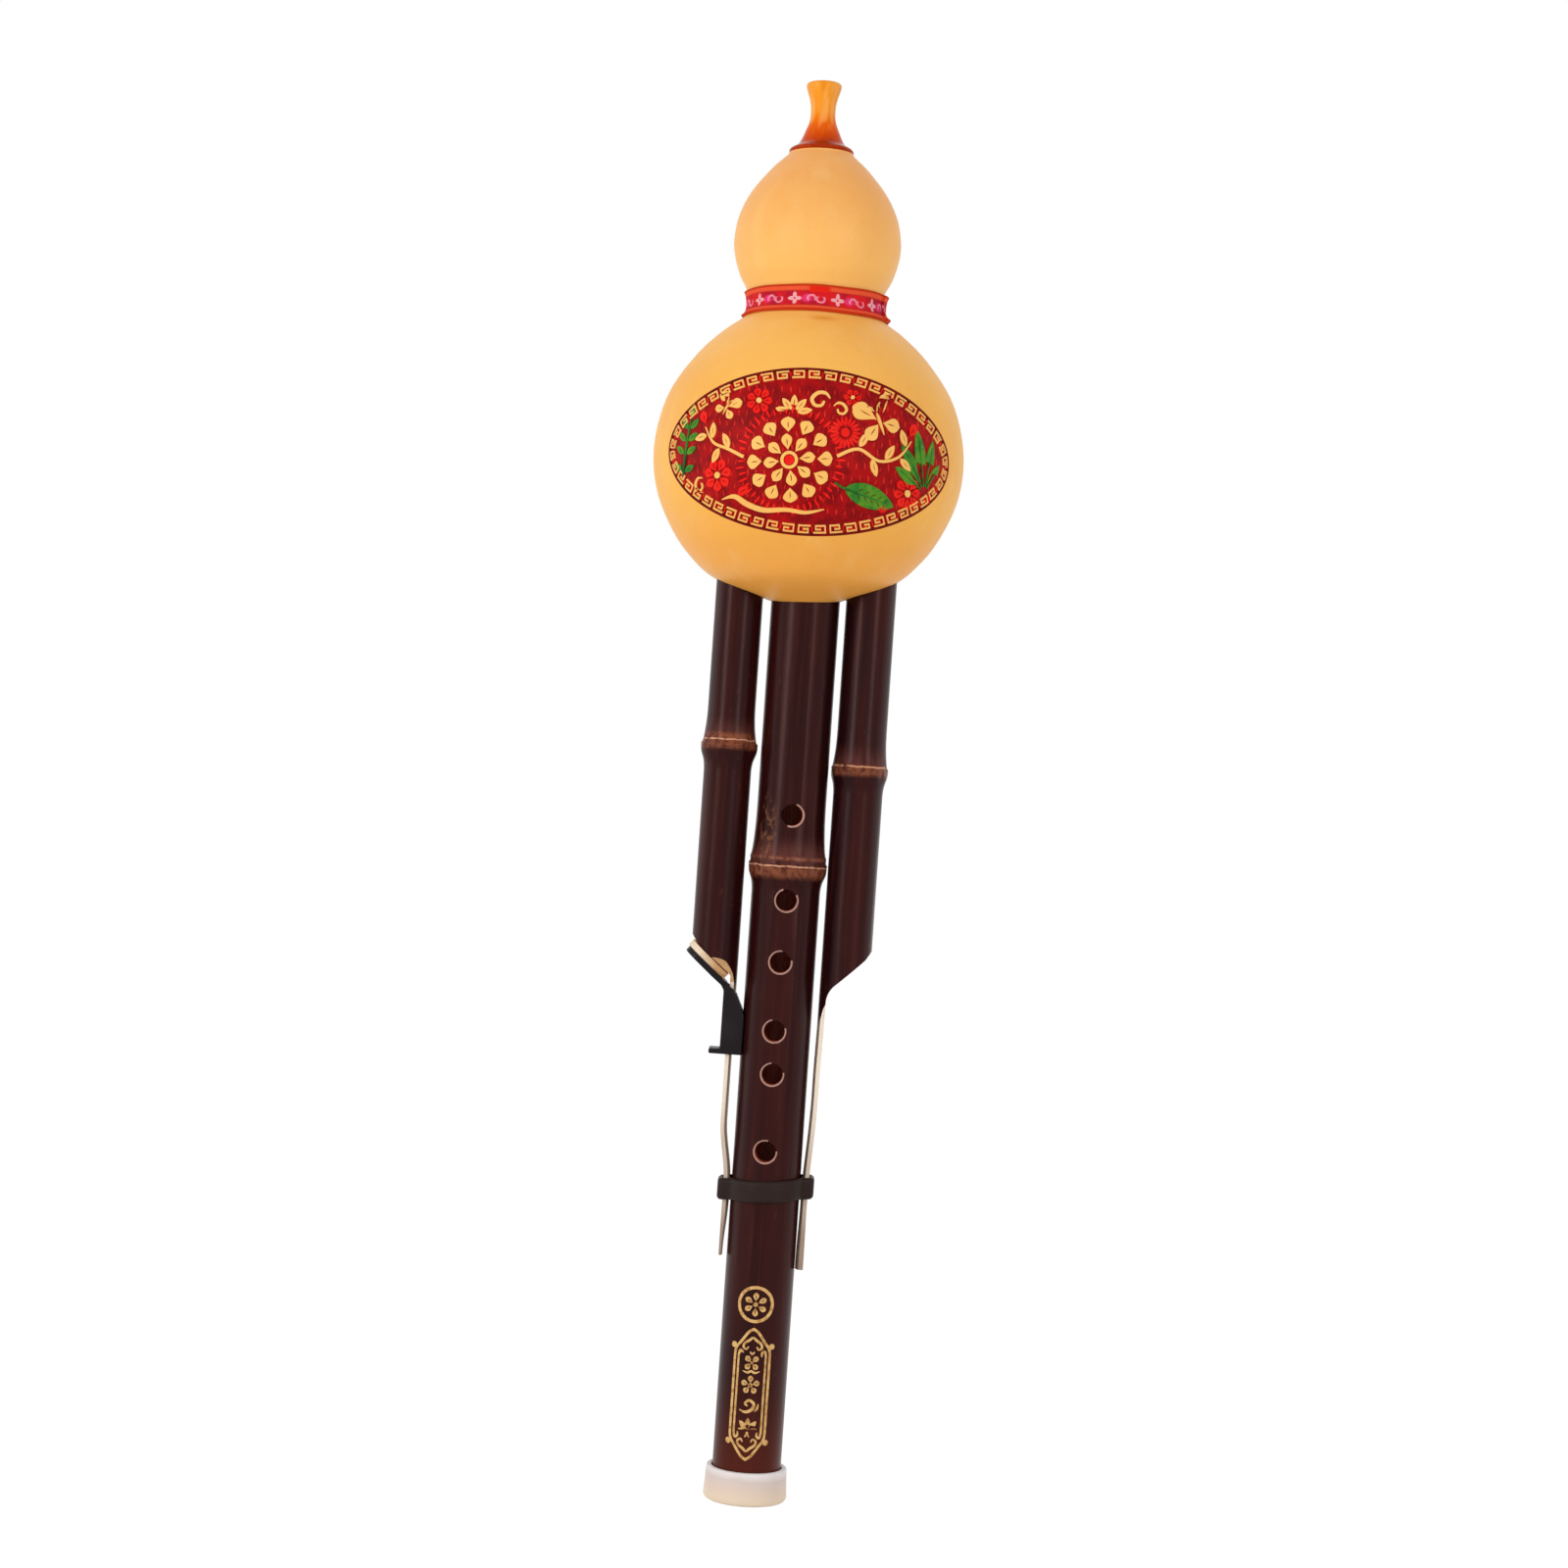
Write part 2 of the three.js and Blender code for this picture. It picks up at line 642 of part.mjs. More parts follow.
// A reed lies on its pipe's flat: X is its width, Y points away from the pipe and Z is its length
function makeReedPlate(reed) {
  const plate = block(
    [-reed.width / 2, reed.width / 2],
    [fit, fit + reedPlateThickness],
    [-reed.length / 2, reed.length / 2],
  );
  const slot = block(
    [-reed.slotWidth / 2, reed.slotWidth / 2],
    [-overrun, overrun],
    [-reed.slotLength / 2, reed.slotLength / 2],
  );
  return toGeometry(toSolid(plate).subtract(toSolid(slot)));
}

function makeReedTongue(reed) {
  const width = reed.slotWidth / 2 - tongueClearance;
  const length = reed.slotLength / 2 - tongueClearance;
  const face = fit + reedPlateThickness / 2;
  return block(
    [-width, width],
    [face - tongueThickness / 2, face + tongueThickness / 2],
    [-length, length],
  );
}

function makeReedWax(reed) {
  const low = fit + reedPlateThickness + fit;
  const bed = block(
    [-reed.width / 2 - reedWaxLap / 2, reed.width / 2 + reedWaxLap / 2],
    [low, low + reedWaxThickness],
    [-reed.length / 2 - reedWaxLap / 2, reed.length / 2 + reedWaxLap / 2],
  );
  const frame = block(
    [-reed.width / 2 + reedWaxLap, reed.width / 2 - reedWaxLap],
    [0, low + reedWaxThickness + overrun],
    [-reed.length / 2 + reedWaxLap, reed.length / 2 - reedWaxLap],
  );
  return toGeometry(toSolid(bed).subtract(toSolid(frame)));
}

function addReed(group, prefix, reed, x, radius) {
  const seat = new THREE.Group();
  seat.position.set(x, radius - reed.flatDepth, reedCentre);
  addMesh(seat, `${prefix}_reed_plate`, makeReedPlate(reed), 'brass');
  addMesh(seat, `${prefix}_reed_tongue`, makeReedTongue(reed), 'brass');
  addMesh(seat, `${prefix}_reed_wax`, makeReedWax(reed), 'wax');
  group.add(seat);
}

// The ring round the melody pipe has an ear with a pocket for each strip
function makeRetainingRing() {
  const bore = melodyRadius + fit;
  const outer = bore + ringBand;
  const pocket = stripRingFace + fit;
  const ear = pocket + ringEarWall;
  const pocketHalf = stripHalfWidth + fit;
  const boreTurn = Math.asin(pocketHalf / bore);
  const outerTurn = Math.asin(ringEarHalfWidth / outer);
  const soft = ringEarHalfWidth - ringEarWall / 2;
  const shape = new THREE.Shape();
  shape.moveTo(ear - ringEarWall / 2, -ringEarHalfWidth);
  shape.lineTo(ear, -soft);
  shape.lineTo(ear, soft);
  shape.lineTo(ear - ringEarWall / 2, ringEarHalfWidth);
  shape.absarc(0, 0, outer, outerTurn, Math.PI - outerTurn, false);
  shape.lineTo(-ear + ringEarWall / 2, ringEarHalfWidth);
  shape.lineTo(-ear, soft);
  shape.lineTo(-ear, -soft);
  shape.lineTo(-ear + ringEarWall / 2, -ringEarHalfWidth);
  shape.absarc(0, 0, outer, Math.PI + outerTurn, -outerTurn, false);
  const hole = new THREE.Path();
  hole.moveTo(pocket, -pocketHalf);
  hole.lineTo(pocket, pocketHalf);
  hole.absarc(0, 0, bore, boreTurn, Math.PI - boreTurn, false);
  hole.lineTo(-pocket, pocketHalf);
  hole.lineTo(-pocket, -pocketHalf);
  hole.absarc(0, 0, bore, Math.PI + boreTurn, -boreTurn, false);
  shape.holes.push(hole);
  const ring = new THREE.ExtrudeGeometry(shape, {
    depth: ringHeight - ringEdge * 2,
    bevelEnabled: true,
    bevelThickness: ringEdge,
    bevelSize: ringEdge,
    bevelOffset: -ringEdge,
    bevelSegments: 1,
    curveSegments: 9,
  }).translate(0, 0, ringPlace - ringHeight / 2 + ringEdge);
  return reshape(ring, (corner) => {
    corner.z += corner.x * Math.tan(ringTilt * degree);
  });
}

function makeFootCap() {
  const inner = melodyRadius + fit;
  const top = inner + capWall;
  const low = top + capFlare;
  return turned([
    [melodyBoreRadius, 0], [low - capEdge, 0], [low - capEdge * capEdgeShare, capEdge * capEdgeShare],
    [low, capEdge], [top, capHeight], [inner, capHeight], [inner, capLip], [melodyBoreRadius, capLip],
  ], pipeSides);
}

// A rounded plate parallel to the slant cut, from one depth under it to another
function slantPlate(shape, depth, thickness) {
  return new THREE.ExtrudeGeometry(shape, { depth: thickness, bevelEnabled: false, curveSegments: 6 })
    .translate(0, 0, -depth - thickness)
    .rotateY(-leftCutAngle * degree)
    .translate(0, 0, cutHeight);
}

// A tongue-shaped outline along the slant, round at its outer end
function tongueShape(low, high, lowHalf, highHalf, corner) {
  const shape = new THREE.Shape();
  shape.moveTo(low, -lowHalf);
  shape.lineTo(low + corner, -highHalf);
  shape.lineTo(high - corner, -highHalf);
  shape.absarc(high - corner, corner - highHalf, corner, -Math.PI / 2, 0, false);
  shape.absarc(high - corner, highHalf - corner, corner, 0, Math.PI / 2, false);
  shape.lineTo(low + corner, highHalf);
  shape.lineTo(low, lowHalf);
  return shape;
}

// The key rides on the left strip: a sleeve with a ledge for the thumb and a slanted plate for the pad
function makeSlideKey() {
  const ledgeTop = keyLow + keyLedgeThickness;
  const ledgeEnd = keyLedgeReach - keyOuterFace;
  const nose = underCut(-leftRadius + stripThickness / 2, plateDepth);
  const noseDrop = nose[1] - keyPlateThickness;
  const chamferFoot = nose[1] - keyHalfWidth - keyPlateThickness;
  const body = outlineShape([
    [-keyInnerFace, keyLow],
    [ledgeEnd, keyLow],
    [ledgeEnd, ledgeTop],
    [keyEdge - keyOuterFace, ledgeTop],
    [-keyOuterFace, ledgeTop + keyEdge],
    [-keyOuterFace, keyShoulder - keyPlateThickness / 2],
    underCut(-keyOuterFace + keyPlateThickness, plateFoot - keyEdge),
    underCut(-keyOuterFace + keyPlateThickness, plateDepth + keyEdge),
    nose,
    [-leftRadius - keySlotClearance, noseDrop],
    [keyEdge - keyInnerFace, chamferFoot],
    [-keyInnerFace, chamferFoot - keyEdge],
  ]);
  const plateEnd = (leftRadius + keyPlateOverhang - plateDepth * cutSine) / cutCosine;
  const plateStart = (-keyOuterFace - keyOuterWall / 2 - plateDepth * cutSine) / cutCosine;
  const plate = tongueShape(plateStart, plateEnd, keyHalfWidth, leftRadius + fit, keyHalfWidth);
  const sleeve = toSolid(upright(body, keyHalfWidth, keyEdge));
  const key = sleeve.add(toSolid(slantPlate(plate, plateDepth, keyPlateThickness)));
  const slotHalf = stripHalfWidth + keySlotClearance;
  const slot = block(
    [-leftRadius - keySlotClearance, stripThickness - leftRadius + keySlotClearance],
    [-slotHalf, slotHalf],
    [keyLow - overrun, cutHeight],
  );
  return toGeometry(key.subtract(toSolid(slot)));
}

function makeSlidePad() {
  const end = (leftRadius - keyPlateOverhang * 2) / cutCosine;
  const start = (stripThickness - leftRadius + keyOuterWall / 2) / cutCosine;
  const padHalf = leftRadius - keyPlateOverhang;
  return slantPlate(tongueShape(start, end, keyHalfWidth, padHalf, keyHalfWidth), padGap, padThickness);
}

// Assembly
const hulusi = new THREE.Group();

addMesh(gourdGroup, 'gourd_shell', makeGourdShell(), 'gourd');
addMesh(gourdGroup, 'mouthpiece', makeMouthpiece(), 'amber');
addMesh(gourdGroup, 'mouthpiece_seal', makeMouthpieceSeal(), 'wax');
addMesh(gourdGroup, 'waist_ribbon', makeWaistRibbon(), 'ribbon');
addMesh(gourdGroup, 'pipe_seal', makePipeSeal(), 'wax');
hulusi.add(gourdGroup);

addMesh(hulusi, 'melody_pipe', makeMelodyPipe(), 'bamboo');
addMesh(hulusi, 'melody_pipe_plug', makePlug(melodyBoreRadius, melodyTop), 'cork');
addReed(hulusi, 'melody', melodyReed, 0, melodyRadius);
addReed(hulusi, 'drone', leftReed, -leftOffset, leftRadius);
addMesh(hulusi, 'retaining_ring', makeRetainingRing(), 'rubber');
addMesh(hulusi, 'foot_cap', makeFootCap(), 'capPlastic');

const leftGroup = new THREE.Group();
leftGroup.position.set(-leftOffset, 0, 0);
leftGroup.rotation.z = Math.PI;
addMesh(leftGroup, 'left_drone_pipe', makeLeftPipe(), 'bamboo');
addMesh(leftGroup, 'left_drone_plug', makePlug(leftBoreRadius, sideTop), 'cork');
addMesh(leftGroup, 'drone_slide_key', makeSlideKey(), 'keyPlastic');
addMesh(leftGroup, 'drone_slide_pad', makeSlidePad(), 'cork');
hulusi.add(leftGroup);

const rightGroup = new THREE.Group();
rightGroup.position.set(rightOffset, 0, 0);
addMesh(rightGroup, 'right_side_pipe', makeRightPipe(), 'bamboo');
hulusi.add(rightGroup);

export default hulusi;
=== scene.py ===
import math

import bpy
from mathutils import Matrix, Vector


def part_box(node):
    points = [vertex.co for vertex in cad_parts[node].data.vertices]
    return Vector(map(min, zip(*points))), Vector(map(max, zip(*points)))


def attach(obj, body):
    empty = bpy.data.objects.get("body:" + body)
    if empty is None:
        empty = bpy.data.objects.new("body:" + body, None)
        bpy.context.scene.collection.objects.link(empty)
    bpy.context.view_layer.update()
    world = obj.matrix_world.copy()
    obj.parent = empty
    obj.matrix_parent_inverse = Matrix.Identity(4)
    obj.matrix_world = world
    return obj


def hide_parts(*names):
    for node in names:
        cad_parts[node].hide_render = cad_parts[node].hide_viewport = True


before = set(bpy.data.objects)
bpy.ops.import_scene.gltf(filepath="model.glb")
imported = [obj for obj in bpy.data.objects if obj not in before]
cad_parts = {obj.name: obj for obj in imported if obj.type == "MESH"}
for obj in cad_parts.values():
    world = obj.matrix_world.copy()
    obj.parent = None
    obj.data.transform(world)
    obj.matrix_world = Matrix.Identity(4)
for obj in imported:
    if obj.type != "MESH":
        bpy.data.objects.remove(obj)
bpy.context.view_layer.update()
print("packed model loaded")

mm = 0.001


def srgb(red, green, blue):   # a screen colour from 0 to 255, as the linear one that a socket takes
    def linear(value):
        value /= 255
        return value / 12.92 if value <= 0.04045 else ((value + 0.055) / 1.055) ** 2.4
    return (linear(red), linear(green), linear(blue), 1)


class Wire:   # a socket that sums and products can be written with
    def __init__(self, shader, socket):
        self.shader = shader
        self.socket = socket

    def calc(self, operation, *values):
        return self.shader.add("ShaderNodeMath", {"operation": operation}, dict(enumerate(values)))

    def __add__(self, other):
        return self.calc("ADD", self, other)

    def __sub__(self, other):
        return self.calc("SUBTRACT", self, other)

    def __rsub__(self, other):
        return self.calc("SUBTRACT", other, self)

    def __mul__(self, other):
        return self.calc("MULTIPLY", self, other)

    __radd__ = __add__
    __rmul__ = __mul__

    def __truediv__(self, other):
        return self.calc("DIVIDE", self, other)

    def __pow__(self, other):
        return self.calc("POWER", self, other)

    def __abs__(self):
        return self.calc("ABSOLUTE", self)

    def wave(self):
        return self.calc("SINE", self)

    def wrapped(self, low, high):
        return self.calc("WRAP", self, high, low)

    def most(self, other):
        return self.calc("MAXIMUM", self, other)

    def step(self, start, end):   # 0 before start, 1 after end, falling where end is the lower one
        return self.shader.add(
            "ShaderNodeMapRange", {"interpolation_type": "SMOOTHSTEP"},
            {"Value": self, "From Min": start, "From Max": end},
        )


class Shader:
    def __init__(self, owner):
        self.owner = owner
        owner.use_nodes = True
        self.tree = owner.node_tree
        self.tree.nodes.clear()

    def add(self, kind, settings=None, sockets=None, output=0):
        node = self.tree.nodes.new(kind)
        for name, value in (settings or {}).items():
            if name == "stops":
                stops = node.color_ramp.elements
                for end in (0, -1):
                    stops[end].position, stops[end].color = value[end]
                for place, colour in value[1:-1]:
                    stops.new(place).color = colour
            else:
                setattr(node, name, value)
        for name, value in (sockets or {}).items():
            if isinstance(value, Wire):
                self.tree.links.new(value.socket, node.inputs[name])
            else:
                node.inputs[name].default_value = value
        if isinstance(output, tuple):
            return [Wire(self, node.outputs[name]) for name in output]
        return Wire(self, node.outputs[output]) if node.outputs else None

    def background(self):   # 1 for a ray that shows the background, straight, mirrored or through glass
        rays = ("Is Camera Ray", "Is Glossy Ray", "Is Transmission Ray")
        straight, glossy, through = self.add("ShaderNodeLightPath", output=rays)
        return straight.most(glossy).most(through)

    def place(self):   # where a point lies on the object, in metres
        return self.add("ShaderNodeTexCoord", output="Object")

    def split(self, vector):
        return self.add("ShaderNodeSeparateXYZ", {}, {0: vector}, (0, 1, 2))

    def noise(self, scale, detail, roughness, squash=1, turn=0):   # a small squash draws it out along Z
        vector = self.place()
        if squash != 1:
            sockets = {"Vector": vector, "Scale": (1, 1, squash), "Rotation": (0, turn, 0)}
            vector = self.add("ShaderNodeMapping", {}, sockets)
        sockets = {"Vector": vector, "Scale": scale, "Detail": detail, "Roughness": roughness}
        return self.add("ShaderNodeTexNoise", {}, sockets)

    def mix(self, factor, first, second):
        return self.add("ShaderNodeMix", {"data_type": "RGBA"}, {0: factor, 6: first, 7: second}, 2)

    def ramp(self, factor, stops):
        return self.add("ShaderNodeValToRGB", {"stops": stops}, {"Fac": factor})

    def bump(self, height, distance, strength):   # distance in mm
        sockets = {"Height": height, "Distance": distance * mm, "Strength": strength}
        return self.add("ShaderNodeBump", {}, sockets)

    def surface(self, sockets):
        principled = self.add("ShaderNodeBsdfPrincipled", {}, sockets)
        self.add("ShaderNodeOutputMaterial", {}, {"Surface": principled})
        return self.owner


def newShader(name):
    return Shader(bpy.data.materials.new(name))


def deselect():
    bpy.ops.object.select_all(action="DESELECT")


def choose(piece):
    deselect()
    piece.select_set(True)
    bpy.context.view_layer.objects.active = piece


def newest(name):
    piece = bpy.context.active_object
    piece.name = piece.data.name = name
    return piece


def coat(piece, *finishes):
    piece.data.materials.clear()
    for finish in finishes:
        piece.data.materials.append(finish)


def soften(piece, angle):
    choose(piece)
    bpy.ops.object.shade_smooth_by_angle(angle=math.radians(angle))


# Moves the mesh, by mm and degrees, and leaves the object at the origin
def settle(piece, location=(0, 0, 0), rotation=(0, 0, 0)):
    piece.location = [value * mm for value in location]
    piece.rotation_euler = [math.radians(value) for value in rotation]
    choose(piece)
    bpy.ops.object.transform_apply(location=True, rotation=True, scale=True)


def applyModifier(piece, kind, settings):
    modifier = piece.modifiers.new(kind.lower(), kind)
    for name, value in settings.items():
        setattr(modifier, name, value)
    choose(piece)
    bpy.ops.object.modifier_apply(modifier=modifier.name)


def combine(piece, other, operation="DIFFERENCE"):
    settings = {"operation": operation, "solver": "EXACT", "material_mode": "TRANSFER", "object": other}
    applyModifier(piece, "BOOLEAN", settings)
    bpy.data.objects.remove(other)


def joined(pieces):
    choose(pieces[0])
    for piece in pieces:
        piece.select_set(True)
    bpy.ops.object.join()
    return pieces[0]


def paintFaces(piece, index, rule):   # rule takes a face's middle, in mm
    for face in piece.data.polygons:
        if rule(face.center / mm):
            face.material_index = index


def startEdit():
    bpy.ops.object.mode_set(mode="EDIT")
    bpy.ops.mesh.select_all(action="SELECT")


def endEdit():
    bpy.ops.object.mode_set(mode="OBJECT")


def faceOutwards():   # in edit mode
    bpy.ops.mesh.select_all(action="SELECT")
    bpy.ops.mesh.normals_make_consistent(inside=False)


def tidyMesh():   # in edit mode
    bpy.ops.mesh.select_all(action="SELECT")
    bpy.ops.mesh.remove_doubles(threshold=0.005 * mm)
    bpy.ops.mesh.dissolve_degenerate(threshold=0.005 * mm)
    bpy.ops.mesh.delete_loose()
    faceOutwards()


# A new piece of one point, extruded from each place to the next, and left in edit mode with all selected
def drawLine(name, places):
    deselect()
    bpy.ops.mesh.primitive_plane_add(size=mm)
    newest(name)
    startEdit()
    bpy.ops.mesh.merge(type="CENTER")
    bpy.ops.transform.translate(value=tuple(value * mm for value in places[0]))
    for place, following in zip(places, places[1:]):
        step = tuple((b - a) * mm for a, b in zip(place, following))
        bpy.ops.mesh.extrude_region_move(TRANSFORM_OT_translate={"value": step})
    bpy.ops.mesh.select_all(action="SELECT")


def turnOnLathe(name, rows, sides):   # rows are (radius, height), spun round Z
    drawLine(name, [(radius, 0, height) for radius, height in rows])
    bpy.ops.mesh.spin(steps=sides, angle=math.tau, center=(0, 0, 0), axis=(0, 0, 1))
    tidyMesh()
    endEdit()
    return bpy.context.active_object


def pulledOutline(name, points, half):   # points are (x, z), filled and pulled from -half to half along Y
    drawLine(name, [(x, -half, z) for x, z in points])
    bpy.ops.mesh.edge_face_add()
    bpy.ops.mesh.select_all(action="SELECT")
    bpy.ops.mesh.extrude_region_move(TRANSFORM_OT_translate={"value": (0, 2 * half * mm, 0)})
    faceOutwards()
    endEdit()
    return bpy.context.active_object


def box(name, low, high):   # corners in mm
    middle = [(a + b) / 2 * mm for a, b in zip(low, high)]
    deselect()
    bpy.ops.mesh.primitive_cube_add(size=mm, location=middle)
    piece = newest(name)
    piece.scale = [b - a for a, b in zip(low, high)]
    bpy.ops.object.transform_apply(location=True, rotation=True, scale=True)
    return piece


def rise(value):   # from 0 to 1, with a soft start and end
    value = min(max(value, 0.0), 1.0)
    return value * value * (3 - 2 * value)


# The same curve through rows of points that the CAD draws
def smoothLine(points, steps):
    line = []
    last = len(points) - 1
    for i in range(last):
        around = [points[max(i - 1, 0)], points[i], points[i + 1], points[min(i + 2, last)]]
        for step in range(steps):
            t = step / steps
            line.append(tuple(
                0.5 * (
                    (2 * b) + (c - a) * t + (2 * a - 5 * b + 4 * c - d) * t * t
                    + (3 * b - a - 3 * c + d) * t ** 3
                )
                for a, b, c, d in zip(*around)
            ))
    return line + [tuple(points[-1])]


def arcLine(centreX, centreY, radius, start, end, steps):   # angles in degrees
    angles = [math.radians(start + (end - start) * i / steps) for i in range(steps + 1)]
    return [(centreX + radius * math.cos(a), centreY + radius * math.sin(a)) for a in angles]


def headings(line, closed=False):   # which way a line goes at each of its points, at unit length
    ways = []
    for i in range(len(line)):
        before = line[i - 1 if closed else max(i - 1, 0)]
        after = line[(i + 1) % len(line) if closed else min(i + 1, len(line) - 1)]
        dx, dy = after[0] - before[0], after[1] - before[1]
        length = math.hypot(dx, dy)
        ways.append((dx / length, dy / length))
    return ways


def shifted(line, left, closed=False):   # moved to the left of the way it goes
    ways = headings(line, closed)
    return [(x - dy * left, y + dx * left) for (x, y), (dx, dy) in zip(line, ways)]


def measured(line, closed=False):   # rows of (distance travelled, x, y, and which way it goes)
    rows = []
    travelled = 0.0
    for i, ((x, y), way) in enumerate(zip(line, headings(line, closed))):
        if i:
            travelled += math.hypot(x - line[i - 1][0], y - line[i - 1][1])
        rows.append((travelled, x, y, *way))
    return rows


def readOff(rows, value, column=0):   # the row where one column has that value, found between two rows
    for row, after in zip(rows, rows[1:]):
        if row[column] <= value <= after[column] and after[column] > row[column]:
            share = (value - row[column]) / (after[column] - row[column])
            return [a + (b - a) * share for a, b in zip(row, after)]
    return list(rows[-1])


# Flat shapes are drawn at one unit to the millimetre: closed outlines, with holes where they nest
def drawFlat(name, outlines):
    curve = bpy.data.curves.new(name, "CURVE")
    curve.dimensions, curve.fill_mode = "2D", "BOTH"
    for outline in outlines:
        spline = curve.splines.new("POLY")
        spline.points.add(len(outline) - 1)
        for point, (x, y) in zip(spline.points, outline):
            point.co = (x, y, 0, 1)
        spline.use_cyclic_u = True
    piece = bpy.data.objects.new(name, curve)
    bpy.context.scene.collection.objects.link(piece)
    choose(piece)
    bpy.ops.object.convert(target="MESH")
    return newest(name)


def sliceFlat(piece, step):   # cuts on a grid, so that the shape can follow a curved skin
    points = piece.data.vertices
    spans = [[pick(point.co[axis] for point in points) for pick in (min, max)] for axis in (0, 1)]
    choose(piece)
    startEdit()
    for (low, high), direction in zip(spans, ((1, 0, 0), (0, 1, 0))):
        for i in range(int((high - low) / step)):
            at = low + (i + 0.5) * step
            bpy.ops.mesh.select_all(action="SELECT")
            bpy.ops.mesh.bisect(plane_co=[value * at for value in direction], plane_no=direction)
    bpy.ops.mesh.select_all(action="SELECT")
    bpy.ops.mesh.remove_doubles(threshold=0.002)
    endEdit()


def thicken(piece, low, high):   # a flat piece, between two levels
    applyModifier(piece, "SOLIDIFY", {"thickness": high - low, "offset": 0})
    for vertex in piece.data.vertices:
        vertex.co.z += (low + high) / 2
    choose(piece)
    startEdit()
    faceOutwards()
    endEdit()


# Camera, lamps and floor
view = {   # in metres and degrees
    "place": (-0.0029, -0.95, 0.227), "roll": -3.92, "lens": 68.7, "sensor": 36, "middle": (0, 0, 0.24),
    "ambient": 0.52, "floorHalf": 1.6, "floorShadow": 0.16, "floorGrey": 0.9, "floorGlow": 1.12,
    "lamps": [   # azimuth from the camera's side, elevation, distance, width, height, power
        (-46, 12, 1.15, 0.13, 0.62, 3.8), (-98, 2, 1.0, 0.7, 0.9, 1.6), (98, 2, 1.0, 0.7, 0.9, 0.9),
        (32, 12, 1.2, 0.13, 0.62, 2.6), (0, 50, 1.3, 0.9, 0.6, 0.7),
    ],
}


def placeCamera():
    bpy.ops.object.camera_add(
        location=view["place"], rotation=(math.radians(90), math.radians(view["roll"]), 0),
    )
    camera = newest("photoCamera")
    camera.data.lens = view["lens"]
    camera.data.sensor_width = view["sensor"]
    bpy.context.scene.camera = camera
    bpy.context.scene.view_settings.view_transform = "Standard"


def placeLamps():
    for number, (azimuth, elevation, distance, width, height, power) in enumerate(view["lamps"]):
        a, e = math.radians(azimuth), math.radians(elevation)
        away = Vector((math.sin(a) * math.cos(e), -math.cos(a) * math.cos(e), math.sin(e)))
        bpy.ops.object.light_add(type="AREA", location=Vector(view["middle"]) + away * distance)
        lamp = newest(f"softbox{number + 1}")
        lamp.rotation_euler = away.to_track_quat("Z", "Y").to_euler()
        lamp.data.shape = "RECTANGLE"
        lamp.data.size, lamp.data.size_y = width, height
        lamp.data.energy = power


def makeBackground():   # white to every ray that shows it, and dimmer as light on the object
    white = (1, 1, 1, 1)
    sky = Shader(bpy.data.worlds.new("studio"))
    bpy.context.scene.world = sky.owner
    brightness = sky.background() * (1 - view["ambient"]) + view["ambient"]
    glow = sky.add("ShaderNodeBackground", {}, {"Color": white, "Strength": brightness})
    sky.add("ShaderNodeOutputWorld", {}, {"Surface": glow})

    deselect()
    bpy.ops.mesh.primitive_plane_add(size=view["floorHalf"] * 2)
    floor = newest("floor")
    paper = newShader("whitePaper")
    matt = paper.add("ShaderNodeBsdfDiffuse", {}, {"Color": (*[view["floorGrey"]] * 3, 1)})
    glow = paper.add("ShaderNodeEmission", {}, {"Color": white, "Strength": view["floorGlow"]})
    share = paper.background() * (1 - view["floorShadow"])
    shown = paper.add("ShaderNodeMixShader", {}, {0: share, 1: matt, 2: glow})
    paper.add("ShaderNodeOutputMaterial", {}, {"Surface": shown})
    coat(floor, paper.owner)


placeCamera()
placeLamps()
makeBackground()
print("camera, lamps and floor set")


# Materials, which read places in metres
def gourdSkin(name, lift=0.0):   # lift pales it
    shader = newShader(name)
    x, y, z = shader.split(shader.place())
    cloudy = shader.noise(34, 4, 0.55)
    blotch = shader.noise(95, 3, 0.6, 0.45)
    speck = shader.noise(900, 2, 0.5)
    # a little darker and more orange at the very bottom: partly its tone, partly painted shade where the
    # pipes leave the gourd
    tall = shader.ramp(z.step(0.286, 0.428), [
        (0.0, srgb(252, 172, 74)), (0.1, srgb(254, 186, 80)), (0.3, srgb(253, 187, 84)),
        (0.62, srgb(255, 188, 90)), (0.8, srgb(255, 194, 102)), (1.0, srgb(251, 176, 98)),
    ])
    warm = shader.mix(cloudy.step(0.42, 0.66) * 0.35, tall, srgb(243, 168, 72))
    pale = shader.mix(blotch.step(0.5, 0.75) * 0.28, warm, srgb(254, 205, 128))
    speckled = shader.mix(speck.step(0.62, 0.75) * 0.14, pale, srgb(206, 132, 66))
    beside, beyond = abs(x + 0.0005) * 150, abs(z - 0.3714) * 620   # a smudge in front, under the ribbon
    smudge = beside.step(1, 0) * beyond.step(1, 0) * y.step(0.0, -0.01)
    stained = shader.mix(smudge * 0.75, speckled, srgb(232, 140, 30))
    colour = shader.mix(lift, stained, srgb(255, 206, 124)) if lift else stained
    height = cloudy * 0.6 + blotch * 0.3 + speck * 0.1
    return shader.surface({
        "Base Color": colour, "Roughness": 0.36 + cloudy * 0.14, "Normal": shader.bump(height, 0.22, 0.5),
        "Coat Weight": 0.04, "Coat Roughness": 0.35, "Specular IOR Level": 0.2,
    })


